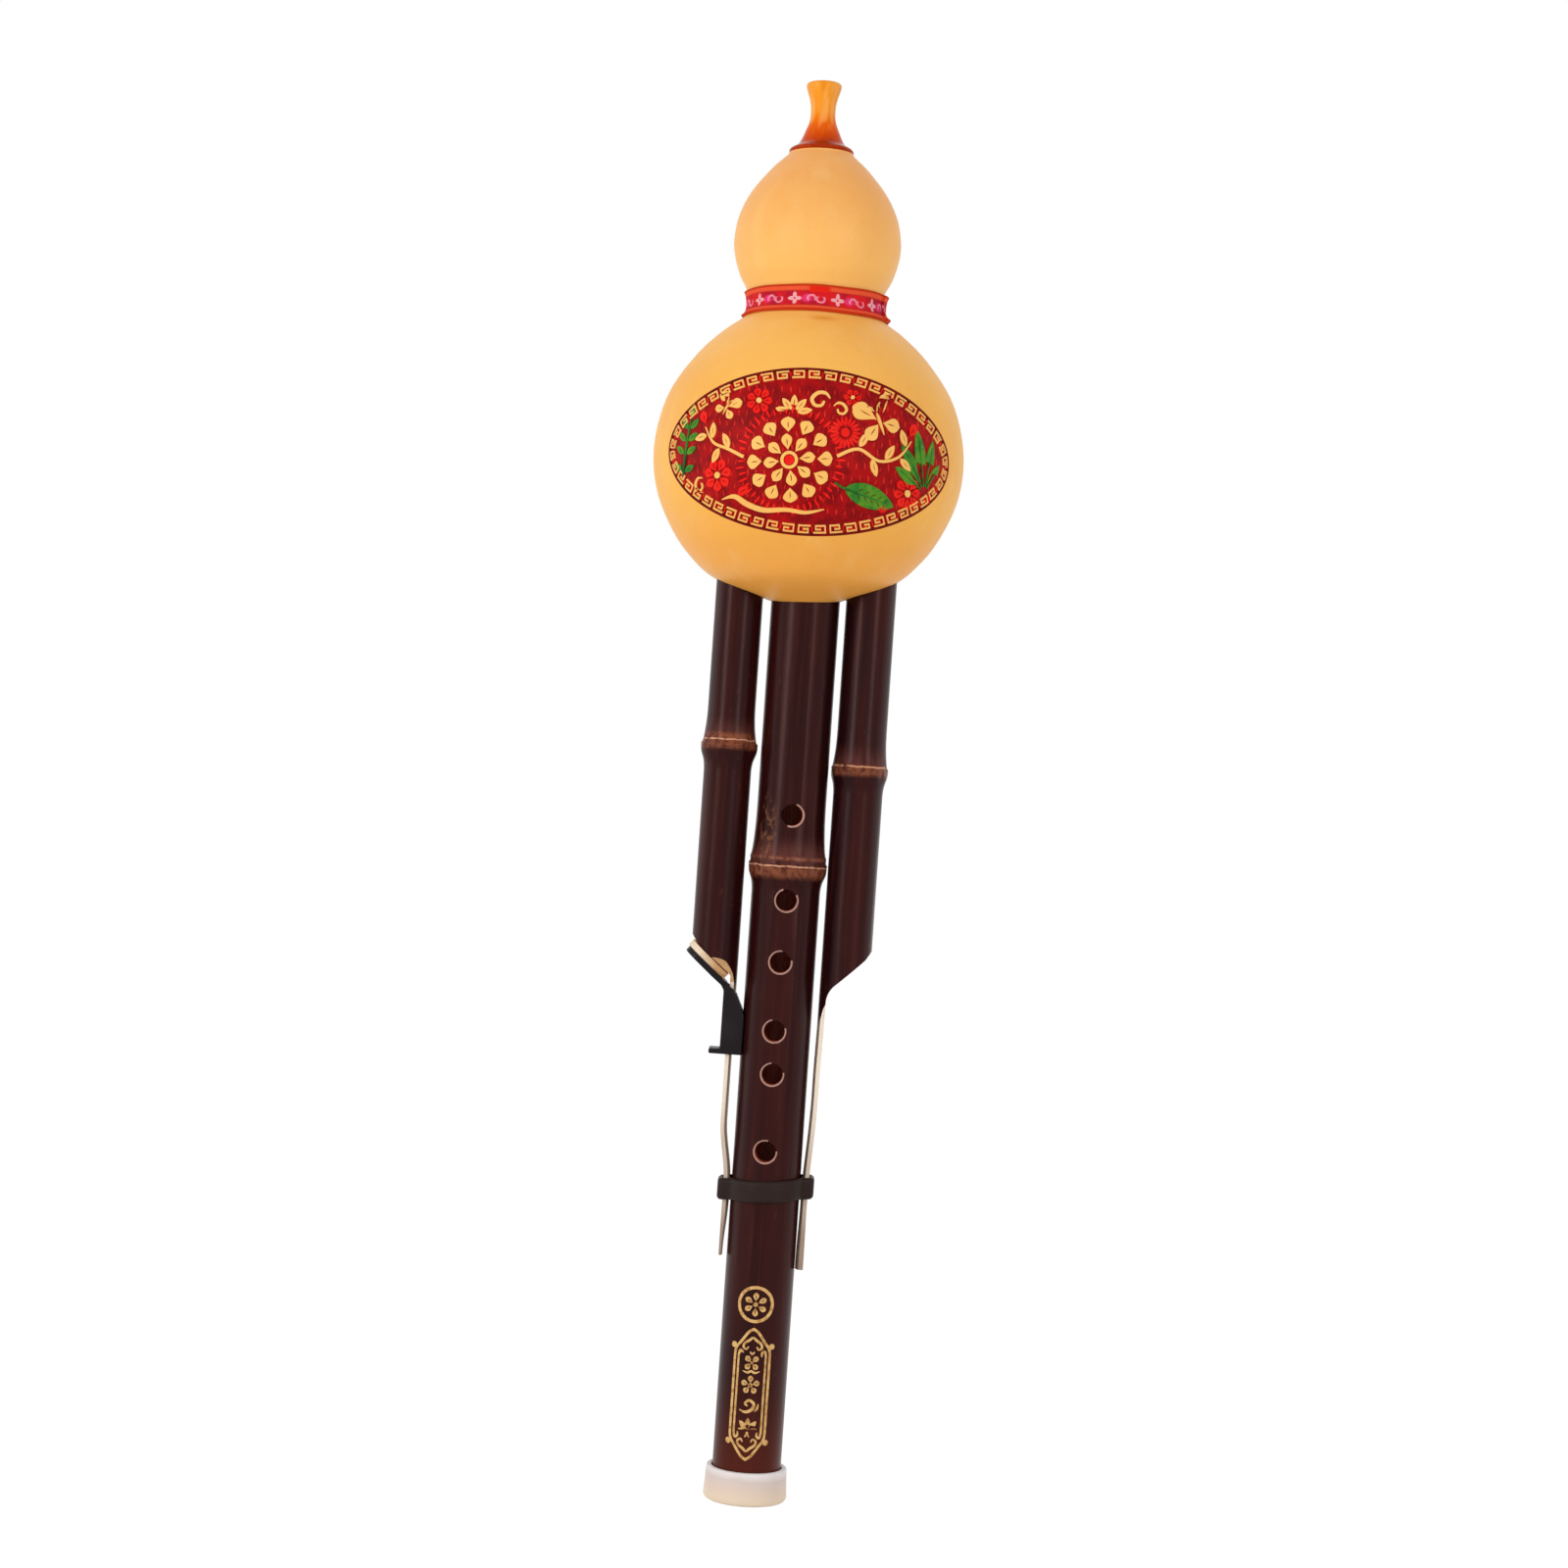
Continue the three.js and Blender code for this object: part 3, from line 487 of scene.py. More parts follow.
def amberResin():   # dark at its flange and paler above it, with painted highlight streaks and darker marbled veins up the neck
    shader = newShader("amberResin")
    z = shader.split(shader.place())[2]
    swirl = shader.noise(130, 4, 0.6, 0.3)
    marblingAndSheen = shader.noise(400, 1, 0.4, 0.1)
    tall = shader.ramp(z.step(0.4275, 0.4495) + (swirl - 0.5) * 0.22, [
        (0.0, srgb(168, 46, 0)), (0.07, srgb(206, 66, 0)), (0.16, srgb(222, 80, 0)), (0.32, srgb(238, 98, 0)),
        (0.46, srgb(246, 122, 6)), (0.62, srgb(250, 148, 34)), (1.0, srgb(250, 160, 46)),
    ])
    # pale streaks up the neck: a painted highlight
    pale = shader.mix(marblingAndSheen.step(0.48, 0.64) * z.step(0.433, 0.439) * 0.5, tall, srgb(255, 186, 104))
    veins = shader.mix(marblingAndSheen.step(0.46, 0.34) * z.step(0.43, 0.436) * 0.4, pale, srgb(228, 124, 16))
    return shader.surface({
        "Base Color": veins, "Roughness": 0.1 + swirl * 0.07, "Specular IOR Level": 0.1,
        "Specular Tint": (1, 0.72, 0.42, 1), "Normal": shader.bump(swirl, 0.1, 0.3),
    })


# Stained bamboo skin, with a pinkish sheen painted above each node. Rings are (height, half width of the pale
# line, band under it, band over it), a scar is (x, half width, height, half height) and strip is the height
# that whittling has reached, below which the skin is paler, partly its own tone and partly painted light, all
# in mm
def bambooSkin(name, rings, redness, scar=None, strip=None):
    shader = newShader(name)
    x, y, z = shader.split(shader.place())
    streak = shader.noise(620, 3, 0.6, 0.035)
    broad = shader.noise(150, 3, 0.55, 0.07)
    spots = shader.noise(420, 3, 0.65, 0.5)
    mottle = shader.noise(560, 4, 0.7, 0.7)
    wobble = shader.noise(330, 2, 0.5) - 0.5
    dark = shader.mix(redness, srgb(30, 9, 13), srgb(36, 8, 7))
    body = shader.mix(broad.step(0.36, 0.66), dark, srgb(50, 14, 12))
    lined = shader.mix(streak.step(0.5, 0.72) * 0.5, body, srgb(66, 25, 21))
    low = shader.mix(z.step(0.045, 0.002) * 0.8, lined, srgb(90, 33, 19))
    colour = shader.mix(spots.step(0.64, 0.78) * 0.35, low, srgb(96, 54, 39))
    if strip:
        # below the strip's height the skin is paler: partly the strip's own lighter tone, partly painted
        # light that lifts its shaded inner side
        colour = shader.mix(z.step((strip + 4) * mm, strip * mm) * 0.9, colour, srgb(188, 158, 138))
    rust = shader.mix(mottle.step(0.36, 0.6), srgb(80, 36, 25), srgb(132, 74, 50))
    for height, line, below, over in rings:
        above = (z - height * mm + wobble * 0.8 * mm) / mm
        # a pinkish sheen painted on the flare above each node, in place of its highlight
        paintedSheen = above.step(8, 0.5) * above.step(-0.2, 0.6) * streak.step(0.2, 0.6)
        colour = shader.mix(paintedSheen * 0.55, colour, srgb(106, 58, 51))
        stain = above.step(-below, -below * 0.5) * above.step(over, over * 0.4)
        colour = shader.mix(stain * mottle.step(0.2, 0.4), colour, rust)
        edge = above.step(-line, -line * 0.4) * above.step(line, line * 0.4)
        colour = shader.mix(edge * mottle.step(0.34, 0.54), colour, srgb(214, 158, 126))
    if scar:
        beside, beyond = abs(x - scar[0] * mm) / (scar[1] * mm), abs(z - scar[2] * mm) / (scar[3] * mm)
        patch = (beside * beside + beyond * beyond + (broad - 0.5) * 1.2).step(1.2, 0.2) * y.step(0, -0.002)
        colour = shader.mix(patch * mottle.step(0.46, 0.62) * 0.6, colour, srgb(132, 84, 58))
    return shader.surface({
        "Base Color": colour, "Roughness": 0.23 + streak * 0.08 + spots * 0.06,
        "Normal": shader.bump(streak * 0.7 + broad * 0.5, 0.06, 0.4),
        "Specular IOR Level": 0.17, "Specular Tint": (1, 0.6, 0.56, 1),
    })


def rawBamboo(name, light, dark, grain, handled=None):   # handled is the colour that its low end has gone
    shader = newShader(name)
    fibre = shader.noise(1500, 3, 0.6, 0.03)
    cloud = shader.noise(120, 3, 0.5, 0.2)
    colour = shader.mix(fibre.step(0.45, 0.7) * grain + cloud.step(0.5, 0.7) * 0.25, light, dark)
    if handled:
        z = shader.split(shader.place())[2]
        tanned = shader.mix(z.step(0.13, 0.104) * 0.45, colour, handled)
        colour = shader.mix(z.step(0.096, 0.084) * 0.7, tanned, handled)
    return shader.surface({
        "Base Color": colour, "Roughness": 0.5 + fibre * 0.15, "Normal": shader.bump(fibre, 0.06, 0.5),
    })


def moulded(name, colour, wear, roughness, scale):
    shader = newShader(name)
    grain = shader.noise(scale, 3, 0.6)
    cloud = shader.noise(scale / 14, 3, 0.5)
    worn = shader.mix(cloud.step(0.5, 0.72) * 0.35 + grain.step(0.6, 0.75) * 0.12, colour, wear)
    return shader.surface({
        "Base Color": worn, "Roughness": roughness + cloud * 0.12, "Normal": shader.bump(grain, 0.05, 0.4),
        "Specular IOR Level": 0.12,
    })


def palePlastic():
    shader = newShader("palePlastic")
    z = shader.split(shader.place())[2]
    cloud = shader.noise(70, 3, 0.5)
    grain = shader.noise(700, 2, 0.5)
    tall = shader.ramp(z.step(0.0, 0.0106) + (cloud - 0.5) * 0.25, [
        (0.0, srgb(240, 218, 192)), (0.45, srgb(234, 211, 193)), (0.85, srgb(226, 208, 200)),
        (1.0, srgb(240, 232, 230)),
    ])
    colour = shader.mix(grain.step(0.6, 0.75) * 0.1, tall, srgb(214, 186, 164))
    return shader.surface({
        "Base Color": colour, "Roughness": 0.36 + cloud * 0.12, "Normal": shader.bump(grain, 0.03, 0.4),
        "Specular IOR Level": 0.3,
    })


def corkBody(name, light, dark, pale=None):   # pale is the colour of the pad's far end
    shader = newShader(name)
    place = shader.place()
    cells = shader.add("ShaderNodeTexVoronoi", {}, {"Vector": place, "Scale": 850.0}, "Distance")
    cloud = shader.noise(300, 4, 0.6)
    colour = shader.mix(cloud.step(0.42, 0.66), light, dark)
    if pale:
        x = shader.split(place)[0]
        colour = shader.mix(x.step(-0.0195, -0.027), colour, pale)
    pitted = shader.mix(cells.step(0.3, 0.05) * 0.3, colour, srgb(120, 78, 50))
    return shader.surface({
        "Base Color": pitted, "Roughness": 0.8 + cloud * 0.1,
        "Normal": shader.bump(cells + cloud * 0.5, 0.12, 0.6),
    })


def brassReed():
    shader = newShader("brassReed")
    brushed = shader.noise(2600, 2, 0.5, 0.05)
    colour = shader.mix(brushed, srgb(196, 148, 72), srgb(222, 180, 104))
    return shader.surface({
        "Base Color": colour, "Metallic": 1.0, "Roughness": 0.28 + brushed * 0.14,
        "Normal": shader.bump(brushed, 0.02, 0.4),
    })


def goldPaint():
    shader = newShader("goldPaint")
    worn = shader.noise(700, 3, 0.6)
    colour = shader.mix(worn.step(0.38, 0.68), srgb(222, 176, 108), srgb(176, 124, 62))
    return shader.surface({
        "Base Color": colour, "Metallic": 0.25, "Roughness": 0.36 + worn * 0.16,
        "Normal": shader.bump(worn, 0.04, 0.5),
    })


def carvedPaint(name, deep, bright, chips, strokes, depth=0.18):   # the gouge's strokes run mostly upright
    shader = newShader(name)
    gouge = shader.noise(900, 3, 0.65, 0.2, 0.18)
    cloud = shader.noise(210, 3, 0.6)
    scratch = shader.noise(1300, 2, 0.5, 0.13, -0.5)
    colour = shader.mix(cloud.step(0.36, 0.64) * 0.7, deep, bright)
    lined = shader.mix(gouge.step(0.52, 0.66) * strokes, colour, bright)
    chipped = shader.mix(scratch.step(0.66, 0.76) * strokes * 0.6, lined, chips)
    return shader.surface({
        "Base Color": chipped, "Roughness": 0.42 + gouge * 0.2, "Normal": shader.bump(gouge, depth, 0.8),
        "Specular IOR Level": 0.1,
    })


ribbon = {   # in mm and degrees, with the pattern's places from the middle of a repeat
    "height": 94.1, "width": 9.1, "thickness": 0.64, "length": 148.0, "lap": 34, "ramp": 14, "gap": 0.2,
    "lapGap": 0.12, "sag": 0.12, "drop": 1.5, "slope": 0.2, "dip": 0.45, "spread": 0.1, "selvedge": 0.25,
    "wander": [(3, 1, 0.14), (7, 0, 0.08)],   # waves round the waist, phase, size
    "alongSteps": 260, "acrossSteps": 14,
    "pitch": 13.4, "firstCross": 6.5, "loopPlace": 5.3, "loopRadius": 1.2, "mend": 39, "mendHalf": 4,
}


def wovenRibbon():
    shader = newShader("wovenRibbon")
    u, v = shader.split(shader.add("ShaderNodeTexCoord", output="UV"))[:2]
    along = u * ribbon["length"]
    across = (v - 0.5) * ribbon["width"]
    fuzz = shader.noise(1500, 2, 0.5) - 0.5
    half = ribbon["pitch"] / 2
    a = (along - ribbon["firstCross"]).wrapped(-half, half) + fuzz * 0.5
    b = across + fuzz * 0.4
    far = abs(across)

    # a four-petalled cross: its reach swings between the petals and the gaps
    reach = (a * a + b * b) ** 0.5
    angle = a.calc("ARCTAN2", b, a)
    lobes = (angle * 4 + math.pi / 2).wave()
    cross = (reach - lobes * 0.62).step(1.75, 1.25) * reach.step(0.2, 0.5)

    # two open loops between the crosses, and a magenta spot in one of them
    hoops = []
    for side in (-1, 1):
        ring = ((a - ribbon["loopPlace"] * side) ** 2 + (b + 0.1) ** 2) ** 0.5
        hoops.append(abs(ring - ribbon["loopRadius"]).step(0.46, 0.22) * (b * side).step(0.9, 0.3))
    loops = hoops[0].most(hoops[1])
    spot = (((a + 3.9) ** 2 + (b * 1.2) ** 2) ** 0.5).step(2.2, 0.9)

    middle = shader.mix(shader.noise(150, 2, 0.5).step(0.4, 0.6), srgb(230, 26, 34), srgb(186, 14, 44))
    spotted = shader.mix(spot * 0.85, middle, srgb(248, 60, 130))
    looped = shader.mix(loops * 0.85, spotted, srgb(255, 150, 172))
    figured = shader.mix(cross * 0.92, looped, srgb(255, 186, 192))
    coral = shader.mix((along * 7.0).wave().step(0.1, 0.8) * 0.4, srgb(246, 84, 46), srgb(255, 118, 74))
    banded = shader.mix(far.step(2.35, 2.65), figured, coral)
    striped = shader.mix(far.step(2.2, 2.4) * far.step(2.95, 2.6) * 0.5, banded, srgb(190, 34, 26))
    patch = (abs(along - ribbon["mend"]) / ribbon["mendHalf"]).step(1, 0.6) * across.step(1.9, 2.3)
    patched = shader.mix(patch, striped, srgb(240, 34, 10))
    edged = shader.mix(far.step(3.75, 4.05), patched, srgb(206, 58, 14))
    threads = (along * 17.0).wave() * (across * 17.0).wave()
    height = threads * 0.5 + cross.most(loops) * 0.9 + far.step(3.6, 4.1) * 0.8
    return shader.surface({
        "Base Color": edged, "Roughness": 0.72 + fuzz * 0.2, "Normal": shader.bump(height, 0.12, 0.7),
        "Specular IOR Level": 0.15,
    })


finish = {
    "gourd": gourdSkin("gourdSkin"),
    "relief": gourdSkin("gourdRelief", 0.35),
    "ground": carvedPaint("crimsonGround", srgb(132, 2, 8), srgb(190, 8, 10), srgb(222, 46, 36), 0.5, 0.25),
    # a dark crimson line painted along the oval's edge, as shade where the carved ground meets its rim
    "rimShadeLine": carvedPaint("rimShadeLine", srgb(96, 10, 8), srgb(140, 20, 12), srgb(150, 50, 30), 0.3, 0.1),
    "gouge": carvedPaint("gougeRed", srgb(206, 30, 22), srgb(234, 62, 44), srgb(246, 130, 108), 0.3, 0.08),
    "red": carvedPaint("scarletPaint", srgb(236, 20, 14), srgb(250, 44, 30), srgb(255, 110, 84), 0.35),
    "green": carvedPaint("greenPaint", srgb(44, 120, 38), srgb(104, 158, 34), srgb(178, 196, 90), 0.55),
    "darkGreen": carvedPaint(
        "darkGreenPaint", srgb(28, 84, 34), srgb(52, 136, 44), srgb(140, 170, 90), 0.5,
    ),
    "amber": amberResin(),
    "melody": bambooSkin(
        "melodyBamboo", [(203.8, 0.05, 1.0, 0.8), (201.2, 0.34, 4.8, 0.6)], 0.75, scar=(-7.2, 2.8, 212.0, 12),
    ),
    "left": bambooSkin("leftBamboo", [(239.9, 0.28, 3.7, 2.8)], 0.6, strip=160),
    "right": bambooSkin("rightBamboo", [(234.1, 0.28, 3.8, 0.8)], 0.15, strip=151),
    "bore": rawBamboo("boreWood", srgb(176, 80, 54), srgb(120, 50, 32), 0.6),
    "rim": rawBamboo("holeRim", srgb(186, 140, 124), srgb(132, 94, 80), 0.5),
    "strip": rawBamboo("stripFace", srgb(250, 236, 214), srgb(216, 188, 160), 0.35),
    "cut": rawBamboo("cutBamboo", srgb(214, 168, 118), srgb(158, 106, 66), 0.5),
    "stripSide": rawBamboo("stripSide", srgb(248, 232, 212), srgb(216, 192, 168), 0.35, srgb(142, 110, 92)),
    "ring": moulded("blackRubber", srgb(40, 25, 21), srgb(54, 38, 34), 0.4, 700),
    "key": moulded("blackPlastic", srgb(27, 21, 24), srgb(42, 34, 38), 0.3, 1100),
    "pad": corkBody("padCork", srgb(212, 162, 112), srgb(176, 122, 78), srgb(244, 220, 190)),
    "cork": corkBody("plugCork", srgb(196, 154, 112), srgb(164, 120, 82)),
    "cap": palePlastic(),
    "brass": brassReed(),
    "wax": moulded("beeswax", srgb(104, 58, 36), srgb(134, 80, 48), 0.5, 400),
    "gold": goldPaint(),
    "ribbon": wovenRibbon(),
}
print("materials made")


# All sizes from here on are in mm, and angles in degrees
pipeAxes = {   # how far right of the middle each pipe stands, and its radius
    "melody": {"place": 0, "radius": 10.9},
    "left": {"place": -21.1, "radius": 7.55},
    "right": {"place": 20.7, "radius": 7.85},
}

gourd = {
    "foot": (-1.0, 0, 285.6), "lean": (0, -1.5, 0), "wall": 3.0, "sides": 144, "steps": 4, "innerSteps": 2,
    "innerLeast": 1, "innerTop": 134, "neckHole": 6.6, "neckFoot": 137.5,
    "pipeFit": 0.2, "holeSides": 96, "holeMiddle": 291.6, "holeDepth": 24,
    "bulge": {"drop": 0.9, "front": 12, "radius": 40, "top": 30, "fade": 14},
    "rows": [   # radius, height
        (0, -1.5), (7.87, -1.1), (15.25, 1.1), (28.68, 6.1), (36.41, 12.66), (42.12, 20.35), (47.28, 31.45),
        (49.2, 42.69), (48.17, 53.79), (44.38, 65.17), (36.7, 76.27), (29.13, 83.67), (22.15, 89.01),
        (20.9, 93.35), (22.05, 98.19), (24.27, 102.46), (26.02, 108.29), (26.5, 113.7), (25.2, 121.1),
        (21.6, 128.64), (15.69, 136.04), (12.2, 139.4), (10.7, 140.8), (10.3, 141.6),
    ],
}
skinLine = smoothLine(gourd["rows"], gourd["steps"])
skinRows = measured(skinLine)

medallion = {
    "centre": 42.5, "halfWidth": 43.5, "halfHeight": 25.4, "tilt": -1.0, "depth": 0.45, "cutOut": 2.0,
    "grid": 2.6, "rimSteps": 720, "recessSteps": 240, "lineSteps": 300, "rimShadeLine": (-0.05, 0.55),
}
medallionArc = readOff(skinRows, medallion["centre"], 2)[0]


def rimBase(angle):   # the oval's rim, laid flat: u round the gourd, v up its skin
    height = medallion["centre"] + medallion["halfHeight"] * math.sin(angle)
    arc, radius = readOff(skinRows, height, 2)[:2]
    u = radius * math.asin(medallion["halfWidth"] * math.cos(angle) / radius)
    return (u, arc - medallionArc)


rimPoints = [rimBase(math.tau * i / medallion["rimSteps"]) for i in range(medallion["rimSteps"])]
rimRows = measured(rimPoints, closed=True)
rimLength = rimRows[-1][0] + math.dist(rimPoints[0], rimPoints[-1])


def rimAt(distance, inset):
    u, v, du, dv = readOff(rimRows, distance % rimLength)[1:]
    return (u - dv * inset, v + du * inset)


def rimLoop(steps, inset):
    return [rimAt(rimLength * i / steps, inset) for i in range(steps)]


def wrapOnGourd(piece):
    slant = math.radians(medallion["tilt"])
    c, s = math.cos(slant), math.sin(slant)
    for vertex in piece.data.vertices:
        u, v, level = vertex.co
        radius, height, alongR, alongH = readOff(skinRows, medallionArc + (u * s + v * c))[1:]
        angle = (u * c - v * s) / radius
        reach = radius + alongH * level
        high = height - alongR * level
        vertex.co = (reach * math.sin(angle) * mm, -reach * math.cos(angle) * mm, high * mm)
    piece.data.update()


def leanWithGourd(piece):
    settle(piece, gourd["foot"], gourd["lean"])


def makeGourd():
    inner = shifted(smoothLine(gourd["rows"], gourd["innerSteps"]), gourd["wall"])
    inner = [row for row in inner if row[0] > gourd["innerLeast"] and row[1] < gourd["innerTop"]]
    throat = [(gourd["neckHole"], gourd["rows"][-1][1]), (gourd["neckHole"], gourd["neckFoot"])]
    floorPoint = (0, gourd["rows"][0][1] + gourd["wall"])
    body = turnOnLathe("gourdBody", skinLine + throat + inner[::-1] + [floorPoint], gourd["sides"])
    bulge = gourd["bulge"]
    for vertex in body.data.vertices:   # the foot hangs a little lower in front of the pipes
        x, y, z = vertex.co / mm
        fade = rise((bulge["radius"] - math.hypot(x, y)) / bulge["fade"])
        fade *= rise((bulge["top"] - z) / bulge["fade"])
        vertex.co.z -= bulge["drop"] * rise(-y / bulge["front"]) * fade * mm
    body.data.update()
    coat(body, finish["gourd"])

    recess = drawFlat("recess", [rimLoop(medallion["recessSteps"], 0)])
    sliceFlat(recess, medallion["grid"])
    thicken(recess, -medallion["depth"], medallion["cutOut"])
    wrapOnGourd(recess)
    coat(recess, finish["ground"])
    combine(body, recess)
    leanWithGourd(body)

    for pipe in pipeAxes.values():
        deselect()
        bpy.ops.mesh.primitive_cylinder_add(
            vertices=gourd["holeSides"], radius=(pipe["radius"] + gourd["pipeFit"]) * mm,
            depth=gourd["holeDepth"] * mm,
        )
        hole = newest("pipeHole")
        settle(hole, (pipe["place"], 0, gourd["holeMiddle"]))
        coat(hole, finish["gourd"])
        combine(body, hole)
    soften(body, 40)
    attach(body, "instrument")
    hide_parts("gourd_shell")
    print("gourd turned, with its carved ground:", len(body.data.polygons), "faces")


makeGourd()

mouthpiece = {
    "sides": 96, "steps": 4, "bore": 2.4, "tenon": 5.0, "tenonFoot": 128.5, "shoulder": 141.7,
    "rows": [   # radius, height
        (9.95, 141.62), (10.25, 142.0), (10.2, 142.6), (9.65, 143.2), (8.45, 143.9), (7.3, 144.85),
        (6.3, 146.6), (5.25, 149.15), (4.4, 151.33), (3.95, 153.62), (4.01, 156.78), (4.48, 159.07),
        (5.21, 161.47), (5.6, 163.1), (5.21, 163.97), (4.03, 164.3),
    ],
    "lip": [(3.2, 164.25), (2.65, 163.9), (2.4, 163.2)],
}


def makeMouthpiece():
    outside = smoothLine(mouthpiece["rows"], mouthpiece["steps"])
    bore, tenon, foot = mouthpiece["bore"], mouthpiece["tenon"], mouthpiece["tenonFoot"]
    inside = [(bore, foot), (tenon, foot), (tenon, mouthpiece["shoulder"]), outside[0]]
    piece = turnOnLathe("mouthpieceBody", outside + mouthpiece["lip"] + inside, mouthpiece["sides"])
    leanWithGourd(piece)
    coat(piece, finish["amber"])
    soften(piece, 50)
    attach(piece, "instrument")
    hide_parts("mouthpiece")
    print("mouthpiece turned")


makeMouthpiece()


def makeRibbon():   # its sizes stand with its weave
    deselect()
    bpy.ops.mesh.primitive_grid_add(
        x_subdivisions=ribbon["alongSteps"], y_subdivisions=ribbon["acrossSteps"], size=1,
    )
    piece = newest("ribbonBand")
    for vertex in piece.data.vertices:
        vertex.co.x *= ribbon["length"]
        vertex.co.y *= ribbon["width"]
    thicken(piece, 0, ribbon["thickness"])
    waistArc = readOff(skinRows, ribbon["height"], 2)[0]
    for vertex in piece.data.vertices:
        along, across, level = vertex.co
        turn = (along / ribbon["length"] + 0.5) * (360 + ribbon["lap"])
        lift = rise((turn - 360 + ribbon["ramp"]) / ribbon["ramp"])
        lift *= ribbon["thickness"] + ribbon["lapGap"]
        angle = math.radians(ribbon["lap"] / 2 - turn)
        share = 2 * across / ribbon["width"]
        across *= 1 + ribbon["spread"] * rise(0.5 + 0.5 * math.cos(angle))   # wider at the right, by its lap
        level *= 1 + ribbon["selvedge"] * abs(share) ** 12
        wander = sum(size * math.sin(waves * angle + phase) for waves, phase, size in ribbon["wander"])
        wander += ribbon["dip"] * math.sin(angle) - ribbon["slope"] * math.cos(angle) - ribbon["drop"]
        radius, height, alongR, alongH = readOff(skinRows, waistArc + across + wander)[1:]
        level += ribbon["gap"] + lift
        reach = radius + alongH * (level + ribbon["sag"] * (1 - share * share))
        high = height - alongR * level
        vertex.co = (reach * math.cos(angle) * mm, reach * math.sin(angle) * mm, high * mm)
    piece.data.update()
    leanWithGourd(piece)
    coat(piece, finish["ribbon"])
    soften(piece, 50)
    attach(piece, "instrument")
    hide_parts("waist_ribbon")
    print("ribbon wound")


makeRibbon()

knot = {   # a bamboo node's rows: how far out as a share of its swell, and where they lie
    "below": [(1.0, 0), (0.8, 0.1), (0.62, 0.3), (0.46, 0.6), (0.32, 0.84), (0.16, 0.96)],
    "collar": [(-0.55, 1.0), (-0.4, 0.93), (-0.16, 1.03), (0.05, 1.06)],
    "above": [(0.02, 0.98), (0.06, 0.74), (0.18, 0.52), (0.4, 0.25), (0.7, 0.06), (1.0, 0)],
    "aboveFoot": 0.12, "steps": 3,
    "bumpSize": 0.12, "bumpPlace": -1.2, "bumpSpan": 3.4, "bumps": [(5, 0, 1), (8, 2, 0.7)], "tilt": 0.28,
    "ridgePlace": 2.6, "ridgeSpan": 0.8, "skin": 1,
}


def stemRows(pipe):   # up the outside of a pipe, swelling at its node
    radius, swell, middle = pipe["radius"], pipe["swell"], pipe["knot"]
    rows = [(radius + out * swell, middle - reach * pipe["flareLow"]) for reach, out in knot["below"]]
    rows += [(radius + out * swell, middle + height) for height, out in knot["collar"]]
    foot = middle + knot["aboveFoot"]
    rows += [(radius + out * swell, foot + reach * pipe["flareHigh"]) for reach, out in knot["above"]]
    return smoothLine(rows, knot["steps"])


def ripple(piece, pipe):   # a hand-worked node isn't quite round or level
    for vertex in piece.data.vertices:
        x, y, z = vertex.co / mm
        above = z - pipe["knot"]
        near = math.exp(-((above - knot["bumpPlace"]) / knot["bumpSpan"]) ** 2)
        if near > 0.01 and math.hypot(x, y) > pipe["bore"] + knot["skin"]:
            angle = math.atan2(y, x) + pipe["phase"]
            bumps = sum(size * math.sin(waves * angle + phase) for waves, phase, size in knot["bumps"])
            bumps += 0.5 * math.sin(13 * angle + z)
            ridge = pipe.get("ridge", 0) * math.exp(-((above - knot["ridgePlace"]) / knot["ridgeSpan"]) ** 2)
            swell = 1 + (near * knot["bumpSize"] * bumps + ridge) / math.hypot(x, y)
            vertex.co.x *= swell
            vertex.co.y *= swell
            vertex.co.z += near * knot["tilt"] * math.sin(2 * angle + 0.6) * mm
    piece.data.update()


reedSeat = {"side": 8, "gap": 0.02, "end": 0.3, "windowHalf": 2, "windowEnd": 3}


def cutReedSeat(body, plate, wax, reach):   # the flat and window of a reed, inside the gourd
    low, high = [[value / mm for value in corner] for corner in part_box(wax)]
    plateLow, plateHigh = [[value / mm for value in corner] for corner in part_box(plate)]
    middle, seat = (low[0] + high[0]) / 2, reedSeat
    flat = box(
        "reedFlat", (low[0] - seat["side"], plateLow[1] - seat["gap"], low[2] - seat["end"]),
        (high[0] + seat["side"], reach, high[2] + seat["end"]),
    )
    window = box(
        "reedWindow", (middle - seat["windowHalf"], 0, plateLow[2] + seat["windowEnd"]),
        (middle + seat["windowHalf"], reach, plateHigh[2] - seat["windowEnd"]),
    )
    for cutter in (flat, window):
        coat(cutter, finish["bore"])
        combine(body, cutter)


melody = {
    **pipeAxes["melody"], "bore": 7.0, "foot": 2.2, "top": 347.6, "knot": 201.2, "swell": 1.6,
    "flareHigh": 19, "flareLow": 8, "phase": 0.4, "ridge": 0.3, "sides": 112, "holeSides": 56,
    "paintIn": 0.3, "paintTop": 0.1, "cutDeep": 9, "cutOver": 3,
    "holes": [   # radius, rounding, height, turn from the front, and the span of the rim that is painted dark as shade
        (3.3, 0.62, 217.4, 2.0, (70, 250)), (3.3, 0.62, 190.5, 2.0, (30, 110)),
        (3.3, 0.62, 171.0, -1.3, (15, 85)), (3.3, 0.62, 149.3, -3.8, (20, 100)),
        (3.3, 0.62, 135.7, -2.3, (10, 95)), (3.3, 0.62, 111.3, -5.3, (5, 80)),
        (3.3, 0.6, 229.05, 180, (40, 120)), (3.0, 0.5, 62, 180, (200, 290)),
        (1.25, 0.25, 50, 155.6, (0, 90)), (1.25, 0.25, 50, 204.4, (90, 200)),
    ],
    "rounding": [(0, -1), (0.1, -0.55), (0.35, -0.2), (0.75, -0.03), (1, 0.04)],   # shares: out, level
}


def inPaintedShade(place, span):
    angle = math.degrees(math.atan2(place.y, place.x)) % 360
    return span[0] <= angle <= span[1] or span[0] <= angle - 360 <= span[1]


